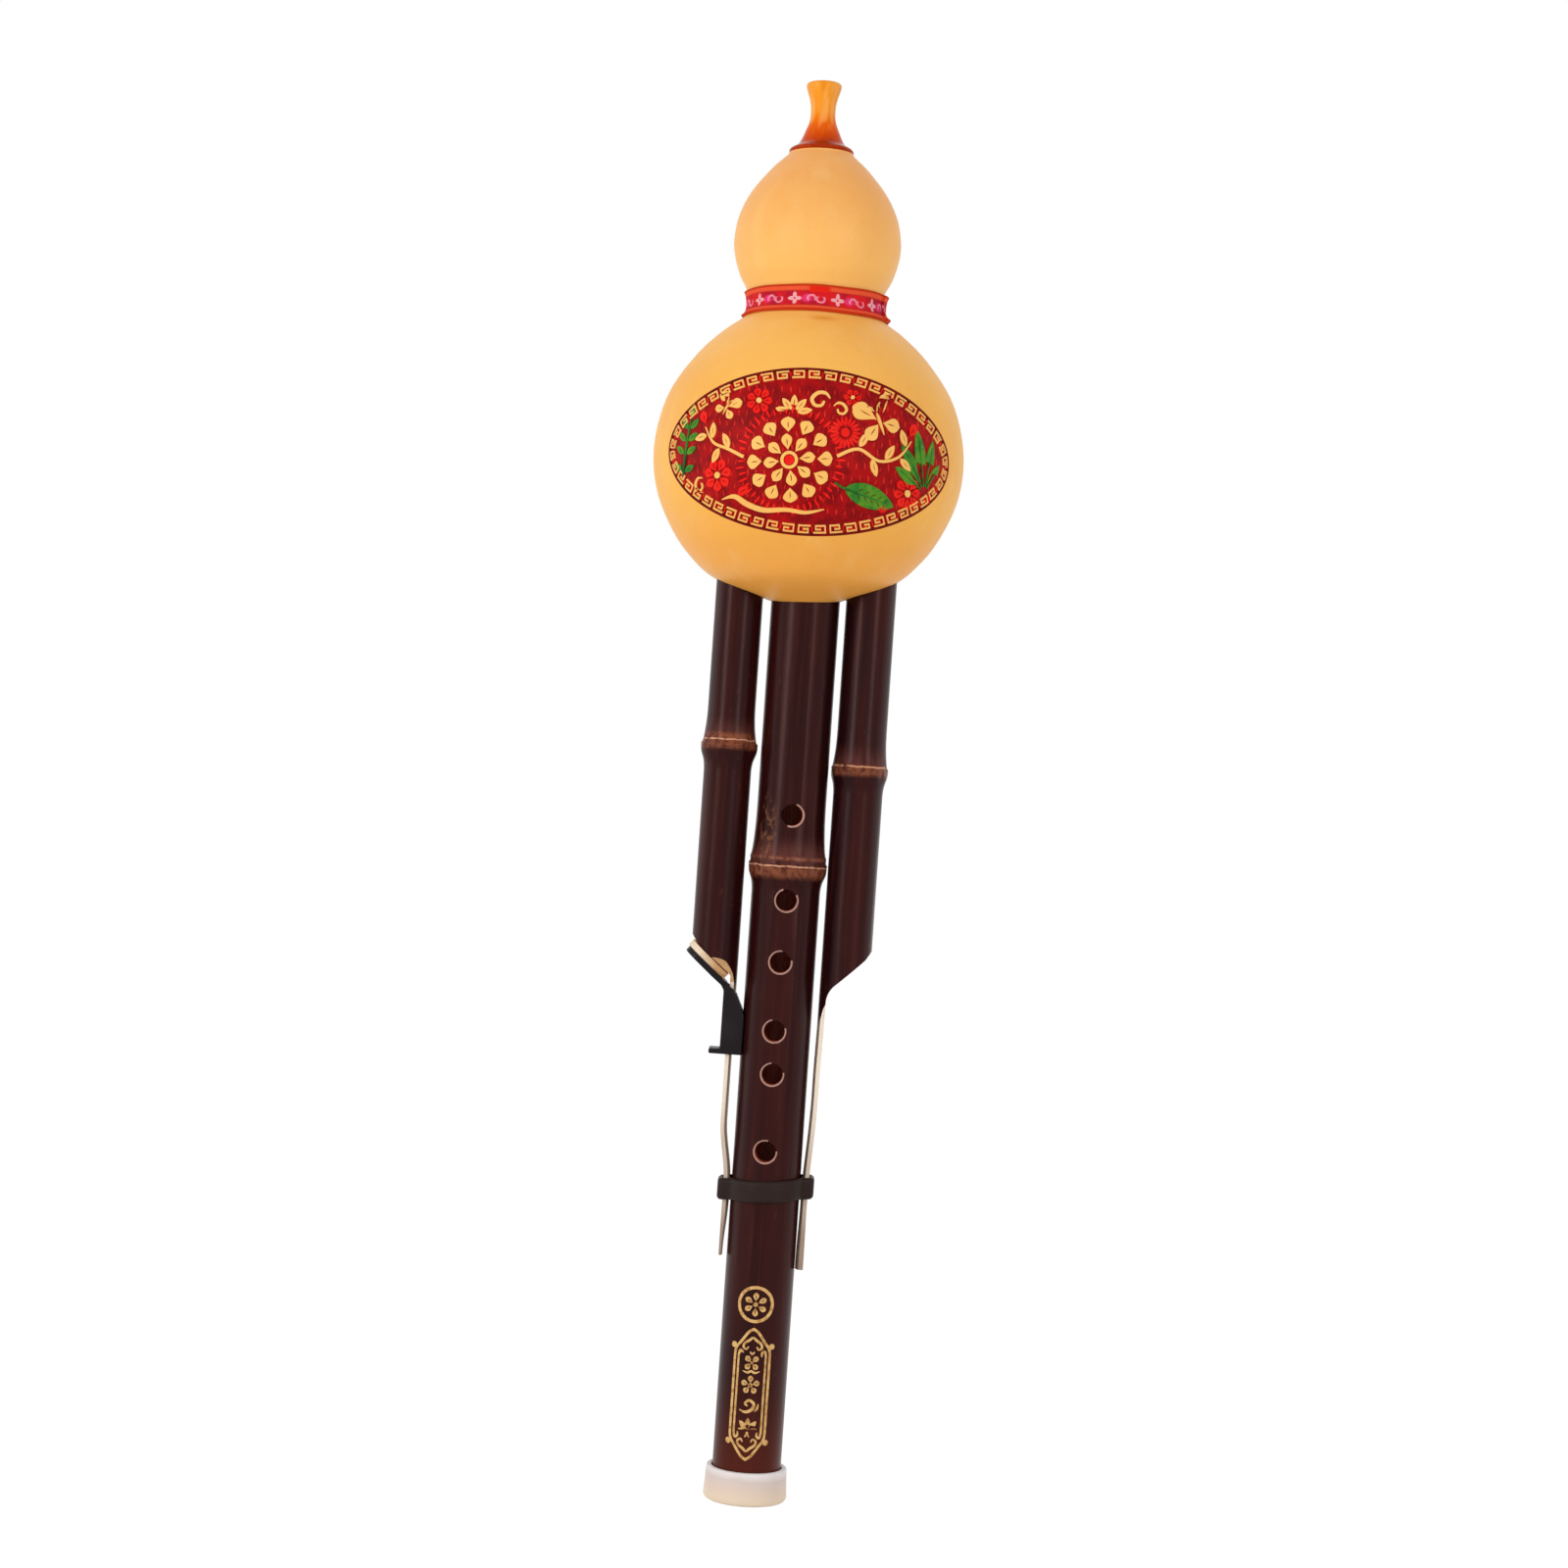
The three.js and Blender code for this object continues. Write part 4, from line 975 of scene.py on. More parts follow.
# A cutter that dips with the pipe's round side, so that the hole's rounding is even all the way
def holeCutter(hole):
    size, rounding, height, turn, stained = hole
    rows = [(0, -melody["cutDeep"]), (size, -melody["cutDeep"])]
    rows += [(size + rounding * out, rounding * level) for out, level in melody["rounding"]]
    rows += [(size + rounding * 1.1, melody["cutOver"]), (0, melody["cutOver"])]
    cutter = turnOnLathe("holeCutter", rows, melody["holeSides"])
    coat(cutter, finish["bore"], finish["rim"], finish["melody"])
    paintFaces(cutter, 1, lambda middle: middle.z > -rounding)
    # rim faces in the span take the dark skin: painted shade on the side of the rounding that faces away from
    # the light
    paintFaces(cutter, 2, lambda middle: middle.z > -rounding and inPaintedShade(middle, stained))
    for vertex in cutter.data.vertices:
        x, y, level = vertex.co / mm
        dip = math.sqrt(melody["radius"] ** 2 - x * x)
        vertex.co = (x * mm, -(dip + level) * mm, y * mm)
    cutter.data.update()
    settle(cutter, (0, 0, height), (0, 0, turn))
    return cutter


def makeMelodyPipe():
    radius, bore, foot, top = [melody[size] for size in ("radius", "bore", "foot", "top")]
    rows = [(radius, foot)] + stemRows(melody) + [(radius, top), (bore, top), (bore, foot), (radius, foot)]
    body = turnOnLathe("melodyPipeBody", rows, melody["sides"])
    coat(body, finish["melody"], finish["bore"])
    inside, end = bore + melody["paintIn"], top - melody["paintTop"]
    paintFaces(body, 1, lambda middle: middle.xy.length < inside or middle.z > end)
    ripple(body, melody)
    combine(body, joined([holeCutter(hole) for hole in melody["holes"]]))
    cutReedSeat(body, "melody_reed_plate", "melody_reed_wax", 14)
    soften(body, 40)
    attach(body, "instrument")
    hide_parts("melody_pipe")
    print("melody pipe bored:", len(body.data.polygons), "faces")


makeMelodyPipe()

sidePipes = {   # each in its own frame, with X away from the melody pipe
    "left": {
        **pipeAxes["left"], "node": "left_drone_pipe", "turn": 180, "bore": 5.35, "top": 340.6,
        "knot": 238.3, "swell": 1.48, "flareHigh": 12, "flareLow": 8, "phase": 1.1, "cutAngle": 41,
        "tip": 176.8, "fillet": 0.9, "stripFace": -5.45, "stripLow": 76.893, "widen": (163.4, 171.6),
        "bendTop": 119.5, "bendLow": 100.5, "shift": 2.2, "bow": 0.0,
        "endTaper": 9, "endThin": 0.9, "endLean": -0.9,
    },
    "right": {
        **pipeAxes["right"], "node": "right_side_pipe", "turn": 0, "bore": 5.65, "top": 340.6,
        "knot": 233.4, "swell": 1.18, "flareHigh": 12, "flareLow": 8, "phase": 2.6, "cutAngle": 43,
        "tip": 175.0, "fillet": 8.0, "stripFace": -5.75, "stripLow": 73.893, "widen": (153.5, 163.0),
        "bendTop": 131.0, "bendLow": 97.0, "shift": 1.5, "bow": -0.3,
        "endTaper": 5, "endThin": -0.45, "endLean": 0.35, "wall": (232.4, 234.4),
    },
}
whittling = {   # what both side pipes share
    "sides": 80, "slice": 1.6, "stripHalf": 3.5, "cutHalf": 12, "past": 5, "paintIn": 0.3,
    "beyond": 4, "filletSteps": 10, "tipBack": 2.0, "tipRise": 1.0, "tipOver": 8,
    "faceDrop": 3, "faceOver": 0.5,
    "trim": [(0, 0), (0.9, 0.32), (2.1, 0.58), (3.1, 0.8), (4.6, 1)],   # out, share of the widening
    "trimOut": 6, "trimOver": 1, "bowFoot": 108, "bowSpan": 50, "endTop": 94, "endSpan": 17,
    "taper": 0.14, "waver": 0.03, "wallSides": 48,
}


def sliceLevels(piece, levels):
    choose(piece)
    startEdit()
    for level in levels:
        bpy.ops.mesh.select_all(action="SELECT")
        bpy.ops.mesh.bisect(plane_co=(0, 0, level * mm), plane_no=(0, 0, 1))
    endEdit()


def cutSlant(body, pipe):   # the slanting cut, rounded into the strip's face
    radius, low, face, tip = [pipe[size] for size in ("radius", "stripLow", "stripFace", "tip")]
    slope = math.tan(math.radians(pipe["cutAngle"]))
    heel = tip - (radius - face) * slope
    tangent = pipe["fillet"] * math.tan(math.radians(90 - pipe["cutAngle"]) / 2)
    corner = arcLine(
        face + pipe["fillet"], heel - tangent, pipe["fillet"], 180, 90 + pipe["cutAngle"],
        whittling["filletSteps"],
    )
    far, back, past = radius + whittling["beyond"], whittling["tipBack"], low - whittling["past"]
    outline = [(face, past)] + corner + [
        (radius - back, tip - back * slope), (radius, tip + whittling["tipRise"]),
        (far, tip + whittling["tipOver"]), (far, past),
    ]
    wedge = pulledOutline("slantCutter", outline, whittling["cutHalf"])
    coat(wedge, finish["cut"], finish["strip"])
    under, within = heel - whittling["faceDrop"], face + whittling["faceOver"]
    paintFaces(wedge, 1, lambda middle: middle.z < under and middle.x < within)
    combine(body, wedge)


def trimStrip(body, pipe, side):   # the strip's two sides
    narrow, wide = pipe["widen"]
    half, past = whittling["stripHalf"], pipe["stripLow"] - whittling["past"]
    edge = [(half + out, narrow + share * (wide - narrow)) for out, share in whittling["trim"]]
    out = half + whittling["trimOut"]
    outline = [(half, past)] + edge + [(out, wide + whittling["trimOver"]), (out, past)]
    for sign in (1, -1):
        trim = pulledOutline("sideCutter", [(x * sign, z) for x, z in outline], whittling["cutHalf"])
        settle(trim, rotation=(0, 0, 90))
        coat(trim, finish["stripSide"], finish["cut"])
        paintFaces(trim, 1, lambda middle: side == "left" and middle.z > narrow)
        combine(body, trim)


def bendStrip(body, pipe):   # towards the melody pipe, and thinner at its tail
    radius, low, face, top = pipe["radius"], pipe["stripLow"], pipe["stripFace"], pipe["widen"][0]
    count = int((top - low) / whittling["slice"])
    sliceLevels(body, [low + (i + 0.5) * whittling["slice"] for i in range(count)])
    for vertex in body.data.vertices:
        z = vertex.co.z / mm
        if z < top:
            bend = rise((pipe["bendTop"] - z) / (pipe["bendTop"] - pipe["bendLow"]))
            share = (z - low) / (top - low)
            bow = pipe["bow"] * math.sin(math.pi * rise((z - whittling["bowFoot"]) / whittling["bowSpan"]))
            depth = min(1, max(0, (vertex.co.x / mm + radius) / (face + radius)))
            end = rise((whittling["endTop"] - z) / whittling["endSpan"])
            end *= pipe["endThin"] * depth + pipe["endLean"]
            taper = rise((low + pipe["endTaper"] - z) / pipe["endTaper"])
            vertex.co.x -= (pipe["shift"] * bend - bow + end) * mm
            vertex.co.y *= 1 - whittling["taper"] * taper - whittling["waver"] * math.sin(9 * share)
    body.data.update()


def makeSidePipe(side, name):
    pipe = sidePipes[side]
    radius, bore, low, top = [pipe[size] for size in ("radius", "bore", "stripLow", "top")]
    rows = [(radius, low)] + stemRows(pipe) + [(radius, top), (bore, top), (bore, low), (radius, low)]
    body = turnOnLathe(name, rows, whittling["sides"])
    coat(body, finish[side], finish["bore"])
    paintFaces(body, 1, lambda middle: middle.xy.length < bore + whittling["paintIn"])
    ripple(body, pipe)
    cutSlant(body, pipe)
    trimStrip(body, pipe, side)
    bendStrip(body, pipe)
    settle(body, (pipe["place"], 0, 0), (0, 0, pipe["turn"]))
    if side == "left":
        cutReedSeat(body, "drone_reed_plate", "drone_reed_wax", 10)
    else:
        (foot, head), reach = pipe["wall"], bore + whittling["paintIn"]
        wallRows = [(0, foot), (reach, foot), (reach, head), (0, head)]
        wall = turnOnLathe("nodeWall", wallRows, whittling["wallSides"])
        coat(wall, finish["bore"])
        settle(wall, (pipe["place"], 0, 0))
        body = joined([body, wall])
    soften(body, 40)
    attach(body, "instrument")
    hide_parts(pipe["node"])
    print(side, "pipe cut:", len(body.data.polygons), "faces")


makeSidePipe("left", "leftPipeBody")
makeSidePipe("right", "rightPipeBody")

slide = {
    "half": 5.0, "edge": 0.5, "edgeAngle": 25, "hollow": 11.2, "hollowSpan": (130, 175), "hollowSides": 150,
    "cutHeight": 170.237, "roundSteps": 10, "bevelSteps": 3,
    "outline": [   # x, height, in the left pipe's own frame
        (-10.7, 140.543), (-0.1, 140.543), (-0.1, 142.143), (-3.6, 142.143), (-3.6, 160.693),
        (-1.9, 163.484), (-1.9, 164.809), (-6.675, 161.122), (-8.0, 159.1), (-10.7, 153.2),
    ],
    "slotLow": (-7.85, -3.8, 130), "slotHigh": (-4.95, 3.8, 170.2),
    "plate": {   # low and high are places along the slant
        "low": -8.2, "high": 8.36, "lowHalf": 5.0, "highHalf": 7.75, "corner": 5.0, "depth": (2.5, 4.2),
        "edge": 0.45,
    },
    "pad": {
        "low": -6.43, "high": 8.94, "lowHalf": 5.0, "highHalf": 7.15, "corner": 5.0, "depth": (0.3, 2.3),
        "edge": 0.55,
    },
}


def tonguePlate(name, shape):
    low, high, corner, highHalf = [shape[size] for size in ("low", "high", "corner", "highHalf")]
    upper = arcLine(high - corner, highHalf - corner, corner, 0, 90, slide["roundSteps"])
    outline = upper + [(low + corner, highHalf), (low, shape["lowHalf"])]
    outline += [(x, -y) for x, y in reversed(outline)]
    piece = drawFlat(name, [outline])
    thicken(piece, -shape["depth"][1], -shape["depth"][0])
    bevel = {"width": shape["edge"], "segments": slide["bevelSteps"], "limit_method": "ANGLE"}
    applyModifier(piece, "BEVEL", bevel)
    piece.scale = (mm, mm, mm)
    settle(piece, (0, 0, slide["cutHeight"]), (0, -sidePipes["left"]["cutAngle"], 0))
    return piece


def hangOnLeftPipe(piece):
    settle(piece, (sidePipes["left"]["place"], 0, 0), (0, 0, sidePipes["left"]["turn"]))


def makeKey():
    body = pulledOutline("slideKeyBody", slide["outline"], slide["half"])
    applyModifier(body, "BEVEL", {
        "width": slide["edge"] * mm, "segments": slide["bevelSteps"], "limit_method": "ANGLE",
        "angle_limit": math.radians(slide["edgeAngle"]),
    })
    combine(body, tonguePlate("slantPlate", slide["plate"]), "UNION")
    combine(body, box("stripSlot", slide["slotLow"], slide["slotHigh"]))
    hangOnLeftPipe(body)
    (foot, head), reach = slide["hollowSpan"], slide["hollow"]
    hollow = [(0, foot), (reach, foot), (reach, head), (0, head)]
    combine(body, turnOnLathe("pipeHollow", hollow, slide["hollowSides"]))
    choose(body)
    startEdit()
    tidyMesh()
    endEdit()
    coat(body, finish["key"])
    soften(body, 35)
    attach(body, "slide_key")
    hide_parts("drone_slide_key")

    pad = tonguePlate("slideKeyPad", slide["pad"])
    hangOnLeftPipe(pad)
    coat(pad, finish["pad"])
    soften(pad, 35)
    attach(pad, "slide_key")
    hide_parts("drone_slide_pad")
    print("slide key made")


makeKey()

ring = {
    "outer": 12.7, "ear": (15.3, 5.6), "earCorner": 6, "bore": 11.1, "pocket": (13.75, 3.9),
    "pocketCorner": 40, "joint": 40, "middle": 98.993, "half": 3.4, "tilt": 3.9, "sag": 0.18,
    "edge": 1.2, "edgeSteps": 8, "innerEdge": 0.2, "sides": 180,
}


# How far a circle with an ear on each side reaches at an angle. A high corner is a sharp one
def earedReach(angle, radius, ear, corner):
    c, s = abs(math.cos(angle)), abs(math.sin(angle))
    square = ((c / ear[0]) ** corner + (s / ear[1]) ** corner) ** (-1 / corner)
    return (radius ** ring["joint"] + square ** ring["joint"]) ** (1 / ring["joint"])


# Turned round, with soft outer edges, and then pulled out into the ears
def makeRing():
    bore, outer, half, edge, inner = [ring[size] for size in ("bore", "outer", "half", "edge", "innerEdge")]
    lower = arcLine(outer - edge, -half + edge, edge, -90, 0, ring["edgeSteps"])
    rows = [(bore + inner, -half)] + lower + [(x, -z) for x, z in reversed(lower)]
    rows += [(bore + inner, half), (bore, half - inner), (bore, -half + inner), (bore + inner, -half)]
    band = turnOnLathe("retainingRingBody", rows, ring["sides"])
    lean = math.tan(math.radians(ring["tilt"]))
    for vertex in band.data.vertices:
        x, y, z = vertex.co / mm
        angle = math.atan2(y, x)
        share = (math.hypot(x, y) - bore) / (outer - bore)
        reach = earedReach(angle, bore, ring["pocket"], ring["pocketCorner"]) * (1 - share)
        reach += earedReach(angle, outer, ring["ear"], ring["earCorner"]) * share
        x, y = reach * math.cos(angle), reach * math.sin(angle)
        sagging = ring["sag"] * math.cos(math.atan2(x, -y))
        vertex.co = (x * mm, y * mm, (z + ring["middle"] + x * lean - sagging) * mm)
    band.data.update()
    coat(band, finish["ring"])
    soften(band, 40)
    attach(band, "instrument")
    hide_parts("retaining_ring")
    print("ring made")


makeRing()

cap = {
    "sides": 112,
    "rows": [   # radius, height
        (7.2, 0), (11.75, 0), (12.35, 0.1), (12.83, 0.42), (13.14, 0.86), (13.25, 1.4), (13.21, 2.4),
        (13.0, 5.4), (12.8, 9.6), (12.72, 10.2), (12.45, 10.46), (12.1, 10.5), (11.3, 10.5), (11.1, 10.3),
        (11.1, 2), (7.0, 2), (7.0, 0.2), (7.2, 0),
    ],
}


def makeCap():
    body = turnOnLathe("footCapBody", cap["rows"], cap["sides"])
    coat(body, finish["cap"])
    soften(body, 40)
    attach(body, "instrument")
    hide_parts("foot_cap")
    print("foot cap turned")


makeCap()


# Outlines for the carving and the gold lines
def petalLine(x, y, turn, start, length, width, fullness=1.0, steps=9):
    side = []
    for i in range(steps + 1):
        t = i / steps
        side.append((start + length * t, width / 2 * max(0.0, math.sin(math.pi * t ** fullness)) ** 0.75))
    return turned([side + [(a, -b) for a, b in side[-2:0:-1]]], x, y, turn)[0]


def petal(x, y, turn, start, length, width, fullness=1.4, slit=0.32):   # with a gouged line down its middle
    whole = petalLine(x, y, turn, start, length, width, fullness)
    return [whole, petalLine(x, y, turn, start + length * 0.22, length * 0.5, slit, 1.0, 5)]


def blossom(x, y, count, start, length, width, turn=0.0, fullness=1.5, slit=0.32):
    turns = [turn + 360 * i / count for i in range(count)]
    return sum((petal(x, y, each, start, length, width, fullness, slit) for each in turns), [])


def disc(x, y, radius, hole=0.0):
    shapes = [arcLine(x, y, radius, 0, 348, 29)]
    return shapes + [arcLine(x, y, hole, 0, 345, 23)] if hole else shapes


def strokeLine(points, steps=5):   # points are (x, y, half width)
    path = smoothLine(points, steps)
    sides = [
        [(x - dy * half * side, y + dx * half * side) for (x, y, half), (dx, dy) in zip(path, headings(path))]
        for side in (1, -1)
    ]
    return sides[0] + sides[1][::-1]


def squareLine(points, width):   # a stroke with square corners
    sides = ([], [])
    for i, (x, y) in enumerate(points):
        normals = []
        for a, b in ((i - 1, i), (i, i + 1)):
            if a >= 0 and b < len(points):
                dx, dy = points[b][0] - points[a][0], points[b][1] - points[a][1]
                length = math.hypot(dx, dy)
                normals.append((-dy / length, dx / length))
        first, last = normals[0], normals[-1]
        spread = (1 + first[0] * last[0] + first[1] * last[1]) * 2 / width
        nx, ny = (first[0] + last[0]) / spread, (first[1] + last[1]) / spread
        sides[0].append((x + nx, y + ny))
        sides[1].append((x - nx, y - ny))
    return sides[0] + sides[1][::-1]


def dense(outline, step):   # more points on the long edges
    points = []
    for (x, y), (nextX, nextY) in zip(outline, outline[1:] + outline[:1]):
        count = max(1, int(math.hypot(nextX - x, nextY - y) / step))
        points += [(x + (nextX - x) * i / count, y + (nextY - y) * i / count) for i in range(count)]
    return points


def band(outline, width):   # a closed line of one width
    return [shifted(outline, side * width / 2, closed=True) for side in (1, -1)]


def mirrored(shapes, flipX=True, flipY=False):
    return [[(-x if flipX else x, -y if flipY else y) for x, y in shape] for shape in shapes]


def turned(shapes, x, y, turn=0, size=1.0):
    c, s = math.cos(math.radians(turn)) * size, math.sin(math.radians(turn)) * size
    return [[(x + a * c - b * s, y + a * s + b * c) for a, b in shape] for shape in shapes]


def leafyStem(points, leaves, width, length):   # leaves are (share of the stem, turn)
    stem, path = [strokeLine(points)], smoothLine(points, 8)
    blades = []
    for share, turn in leaves:
        x, y = path[int(share * (len(path) - 1))][:2]
        blades += petal(x, y, turn, 0.75, length, width, 0.9, 0.26)
    return stem, blades


# Groups of shapes are drawn flat, sliced, thickened and bent; each stands a hair above the one before it
def makeRelief(name, groups, low, high, grid, wrap, coatName):
    hair = 0.02
    layers = []
    for i, shapes in enumerate(groups):
        layer = drawFlat(f"{name}{i + 1}", shapes)
        sliceFlat(layer, grid)
        thicken(layer, low, high + hair * i)
        layers.append(layer)
    piece = joined(layers)
    piece.name = piece.data.name = name
    wrap(piece)
    coat(piece, finish[coatName])
    soften(piece, 30)
    return piece


fret = {   # the border's unit, drawn in a box of its width and height
    "count": 25, "width": 9.65, "height": 2.9, "foot": 0.85, "gap": 1.1, "stroke": 0.5, "block": 0.36,
    "dense": 0.9,
    "lines": [
        [(4.4, 2.6), (0.3, 2.6), (0.3, 0.3), (3.5, 0.3), (3.5, 1.5), (1.7, 1.5)],
        [(5.3, 0.3), (9.35, 0.3), (9.35, 2.6), (6.15, 2.6), (6.15, 1.4), (7.95, 1.4)],
    ],
    "blocks": [[(4.85, 0.55), (4.85, 2.35)], [(1.55, 0.92), (2.7, 0.92)], [(6.95, 2.0), (8.1, 2.0)]],
}


def fretLines(paths, width):   # every other unit is upside down
    unit = rimLength / fret["count"]
    scale = (unit - fret["gap"]) / fret["width"]
    shapes = []
    for i in range(fret["count"]):
        for path in paths:
            points = dense(squareLine(path, width), fret["dense"])
            if i % 2:
                points = [(x, fret["height"] - y) for x, y in points]
            shapes.append([rimAt(unit * (i + 0.5) + x * scale, fret["foot"] + y) for x, y in points])
    return shapes


motifs = {   # (x, y) from the oval's middle, to the right and up
    "bigFlower": (-6.0, -3.5), "fan": (-5.5, 11.0), "fanTurns": (12, 51, 90, 129, 168),
    "roundFlower": (10.6, 5.9), "tuft": (40.5, -9.5),
    "redFlowers": [   # x, y, petals, start, length, width, turn, radius of the pale middle
        (33.5, -10.5, 8, 1.5, 3.9, 2.7, 8, 1.1), (-16.5, 14.6, 7, 1.2, 3.1, 2.4, 0, 0.85),
        (-29.5, -8.6, 7, 1.4, 3.7, 2.9, 15, 1.0), (12.3, 17.2, 6, 0.8, 2.0, 1.7, 0, 0.6),
    ],
    "buds": [   # x, y, turn, start, length, width, fullness
        (33.0, 7.0, 60, 0, 4.6, 3.2, 1.3), (-35.4, 7.4, 110, 0, 4.2, 3.0, 1.3),
        (41.5, -12.5, -10, 0, 3.6, 2.3), (41.5, -12.5, 40, 0.3, 3.6, 2.3),
        (26.5, -16.2, 190, 0, 3.5, 2.2), (-18.2, -12.0, 215, 0, 4.4, 2.8),
    ],
    "rightStem": {
        "points": [(8.5, -1.5, 0.5), (15, 1.2, 0.48), (22, -1.8, 0.44), (29, 0.2, 0.38), (33.5, 5.5, 0.15)],
        "leaves": [(0.25, 62), (0.42, -70), (0.58, 58), (0.78, -38), (0.9, 112)], "width": 2.3, "length": 5.4,
    },
    "leftStem": {
        "points": [(-20.5, -3.0, 0.5), (-26, -0.6, 0.46), (-31.5, 1.4, 0.4), (-35, 6.2, 0.15)],
        "leaves": [(0.3, 118), (0.5, -118), (0.72, 88), (0.85, 195)], "width": 2.3, "length": 5.0,
    },
    "sprig": {
        "points": [(-44.6, -8.5, 0.5), (-43.6, -2, 0.42), (-42.6, 4, 0.35), (-41.6, 9.2, 0.12)],
        "leaves": [
            (0.12, 150), (0.12, 20), (0.34, 150), (0.34, 25), (0.56, 145),
            (0.56, 30), (0.78, 135), (0.78, 40), (0.98, 85),
        ],
        "width": 2.1, "length": 4.6,
    },
    "fronds": [(104, 17.5, 4.6), (80, 14.5, 4.2), (128, 15, 4.2), (152, 12, 3.6), (54, 9.5, 3.2)],
    "cloud": [
        (-27.5, -16.2, 0.15), (-23, -15.2, 0.7), (-18.6, -17.6, 0.85), (-13, -19.4, 0.8), (-6, -19.0, 0.65),
        (0, -19.6, 0.55), (5.5, -18.2, 0.15),
    ],
    "curl": [
        (2.6, 0.2, 0.16), (1.6, 1.9, 0.42), (-0.4, 2.2, 0.5), (-2.2, 0.8, 0.5), (-1.7, -1.1, 0.42),
        (0.0, -1.4, 0.36), (0.9, -0.3, 0.3),
    ],
    "leafRib": [(8.3, -9.6, 0.35), (13, -11.6, 0.3), (26, -14.7, 0.1)],
    "gouges": {"columns": 19, "rows": 6, "pitch": (2.7, 3.7), "field": (49.5, 21.2)},
}


def butterfly():
    wings = petal(0.5, 0.4, 48, 0.4, 8.2, 5.4, 1.7, 0.4) + petal(0.5, -0.6, -32, 0.4, 5.6, 4.2, 1.5, 0.36)
    body = [strokeLine([(0, 2.6, 0.1), (0, 1.2, 0.42), (0, -1.4, 0.4), (0, -4.2, 0.08)], 3)]
    feeler = [strokeLine([(0.2, 2.9, 0.14), (1.0, 4.4, 0.14), (2.1, 5.2, 0.2)], 4)]
    return wings + mirrored(wings) + body + feeler + mirrored(feeler)


def creamShapes():
    big = motifs["bigFlower"]
    curl = [strokeLine(motifs["curl"], 6)]
    fan = sum((petal(*motifs["fan"], turn, 1.1, 4.7, 2.1, 0.9, 0.26) for turn in motifs["fanTurns"]), [])
    first = fretLines(fret["lines"], fret["stroke"]) + blossom(*big, 8, 3.1, 4.9, 3.3, 10)
    first += disc(*big, 2.7, 1.75) + fan
    first += turned(butterfly(), 21.5, 10.5, 24, 1.08) + turned(butterfly(), -27.5, 12.4, -28, 0.62)
    first += [strokeLine(motifs["cloud"])] + turned(curl, 2.5, 15.4, 12, 1.15)
    first += turned(mirrored(curl), 8.6, 13.0, -20, 0.85) + turned(curl, -36.5, -11.5, 60, 0.9)
    stems, leaves = zip(leafyStem(**motifs["rightStem"]), leafyStem(**motifs["leftStem"]))
    middles = sum((disc(*flower[:2], flower[-1]) for flower in motifs["redFlowers"]), [])
    return [first, blossom(*big, 12, 8.5, 4.7, 4.4, 5), stems[0] + stems[1], leaves[0] + leaves[1], middles]


def redShapes():
    big, small = motifs["bigFlower"], motifs["roundFlower"]
    first = sum((blossom(*flower[:-1]) for flower in motifs["redFlowers"]), []) + disc(*big, 1.5)
    first += fretLines(fret["blocks"], fret["block"])
    first += [petalLine(*small, 18 * i, 1.9, 3.2, 0.95, 1.0, 5) for i in range(20)] + disc(*small, 1.4)
    rays = [petalLine(*big, 7.2 * i + 3, 14.0, 2.5 if i % 2 else 3.6, 0.75, 1.0, 5) for i in range(50)]
    return [first, rays, sum((petal(*bud) for bud in motifs["buds"]), [])]


def greenShapes():   # the pale greens, and the dark ones that lie over them
    tuft, fronds = motifs["tuft"], motifs["fronds"]
    stem, leaves = leafyStem(**motifs["sprig"])
    shapes = [petalLine(11.5, -11.0, -14, 0, 17.5, 7.4, 0.85, 16)]
    for i in range(5):
        for side in (1, -1):
            x, y, slant = 15.2 + 2.2 * i, -11.9 - 0.62 * i, side * 42 - 14
            shapes.append(petalLine(x, y, slant, 0.35, 2.3, 0.34, 1.0, 4))
    shapes += leaves
    shapes += [petalLine(*tuft, turn, 2.2, length, width, 0.95, 12) for turn, length, width in fronds]
    ribs = []
    for turn, length, width in fronds:
        ribs += turned([strokeLine([(2, 0, 0.25), (length, 0, 0.12)], 4)], *tuft, turn)
    return [shapes], [ribs, stem + [strokeLine(motifs["leafRib"], 4)]]


def gougeMarks():   # short strokes all over the ground, each inside a cell of its own
    field = motifs["gouges"]
    marks = []
    for column in range(-field["columns"], field["columns"] + 1):
        for row in range(-field["rows"], field["rows"] + 1):
            wander = math.sin(column * 12.9 + row * 78.2) * 43.7
            wander -= math.floor(wander)
            u = column * field["pitch"][0] + (row % 2) * 1.3
            v = row * field["pitch"][1] + (wander - 0.5) * 1.2
            if (u / field["field"][0]) ** 2 + (v / field["field"][1]) ** 2 < 1:
                turn, length, width = 72 + wander * 38, 1.8 + wander * 1.0, 0.3 + wander * 0.16
                marks.append(petalLine(u, v, turn, -1.3, length, width, 1.0, 4))
    return marks


def makeMedallion():
    depth, under = medallion["depth"], 0.1
    # a dark ring along the oval's edge: painted shade at the rim of the recess
    rimShadeRing = [rimLoop(medallion["lineSteps"], inset) for inset in medallion["rimShadeLine"]]
    pale, dark = greenShapes()
    layers = [   # name, groups of shapes, low and high level, finish
        ("ovalRimShade", [rimShadeRing], -depth - 0.15, -0.12, "rimShadeLine"),
        ("ovalGouges", [gougeMarks()], -depth - under, -depth + 0.07, "gouge"),
        ("ovalRed", redShapes(), -depth - under, -0.16, "red"),
        ("ovalGreen", pale, -depth - under, -0.12, "green"),
        ("ovalDarkGreen", dark, -depth - under, -0.04, "darkGreen"),
        ("ovalCream", creamShapes(), -depth - under, -0.06, "relief"),
    ]
    faces = 0
    for name, groups, low, high, coatName in layers:
        part = makeRelief(name, groups, low, high, medallion["grid"], wrapOnGourd, coatName)
        leanWithGourd(part)
        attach(part, "instrument")
        faces += len(part.data.polygons)
    print("oval carved:", faces, "faces")


makeMedallion()

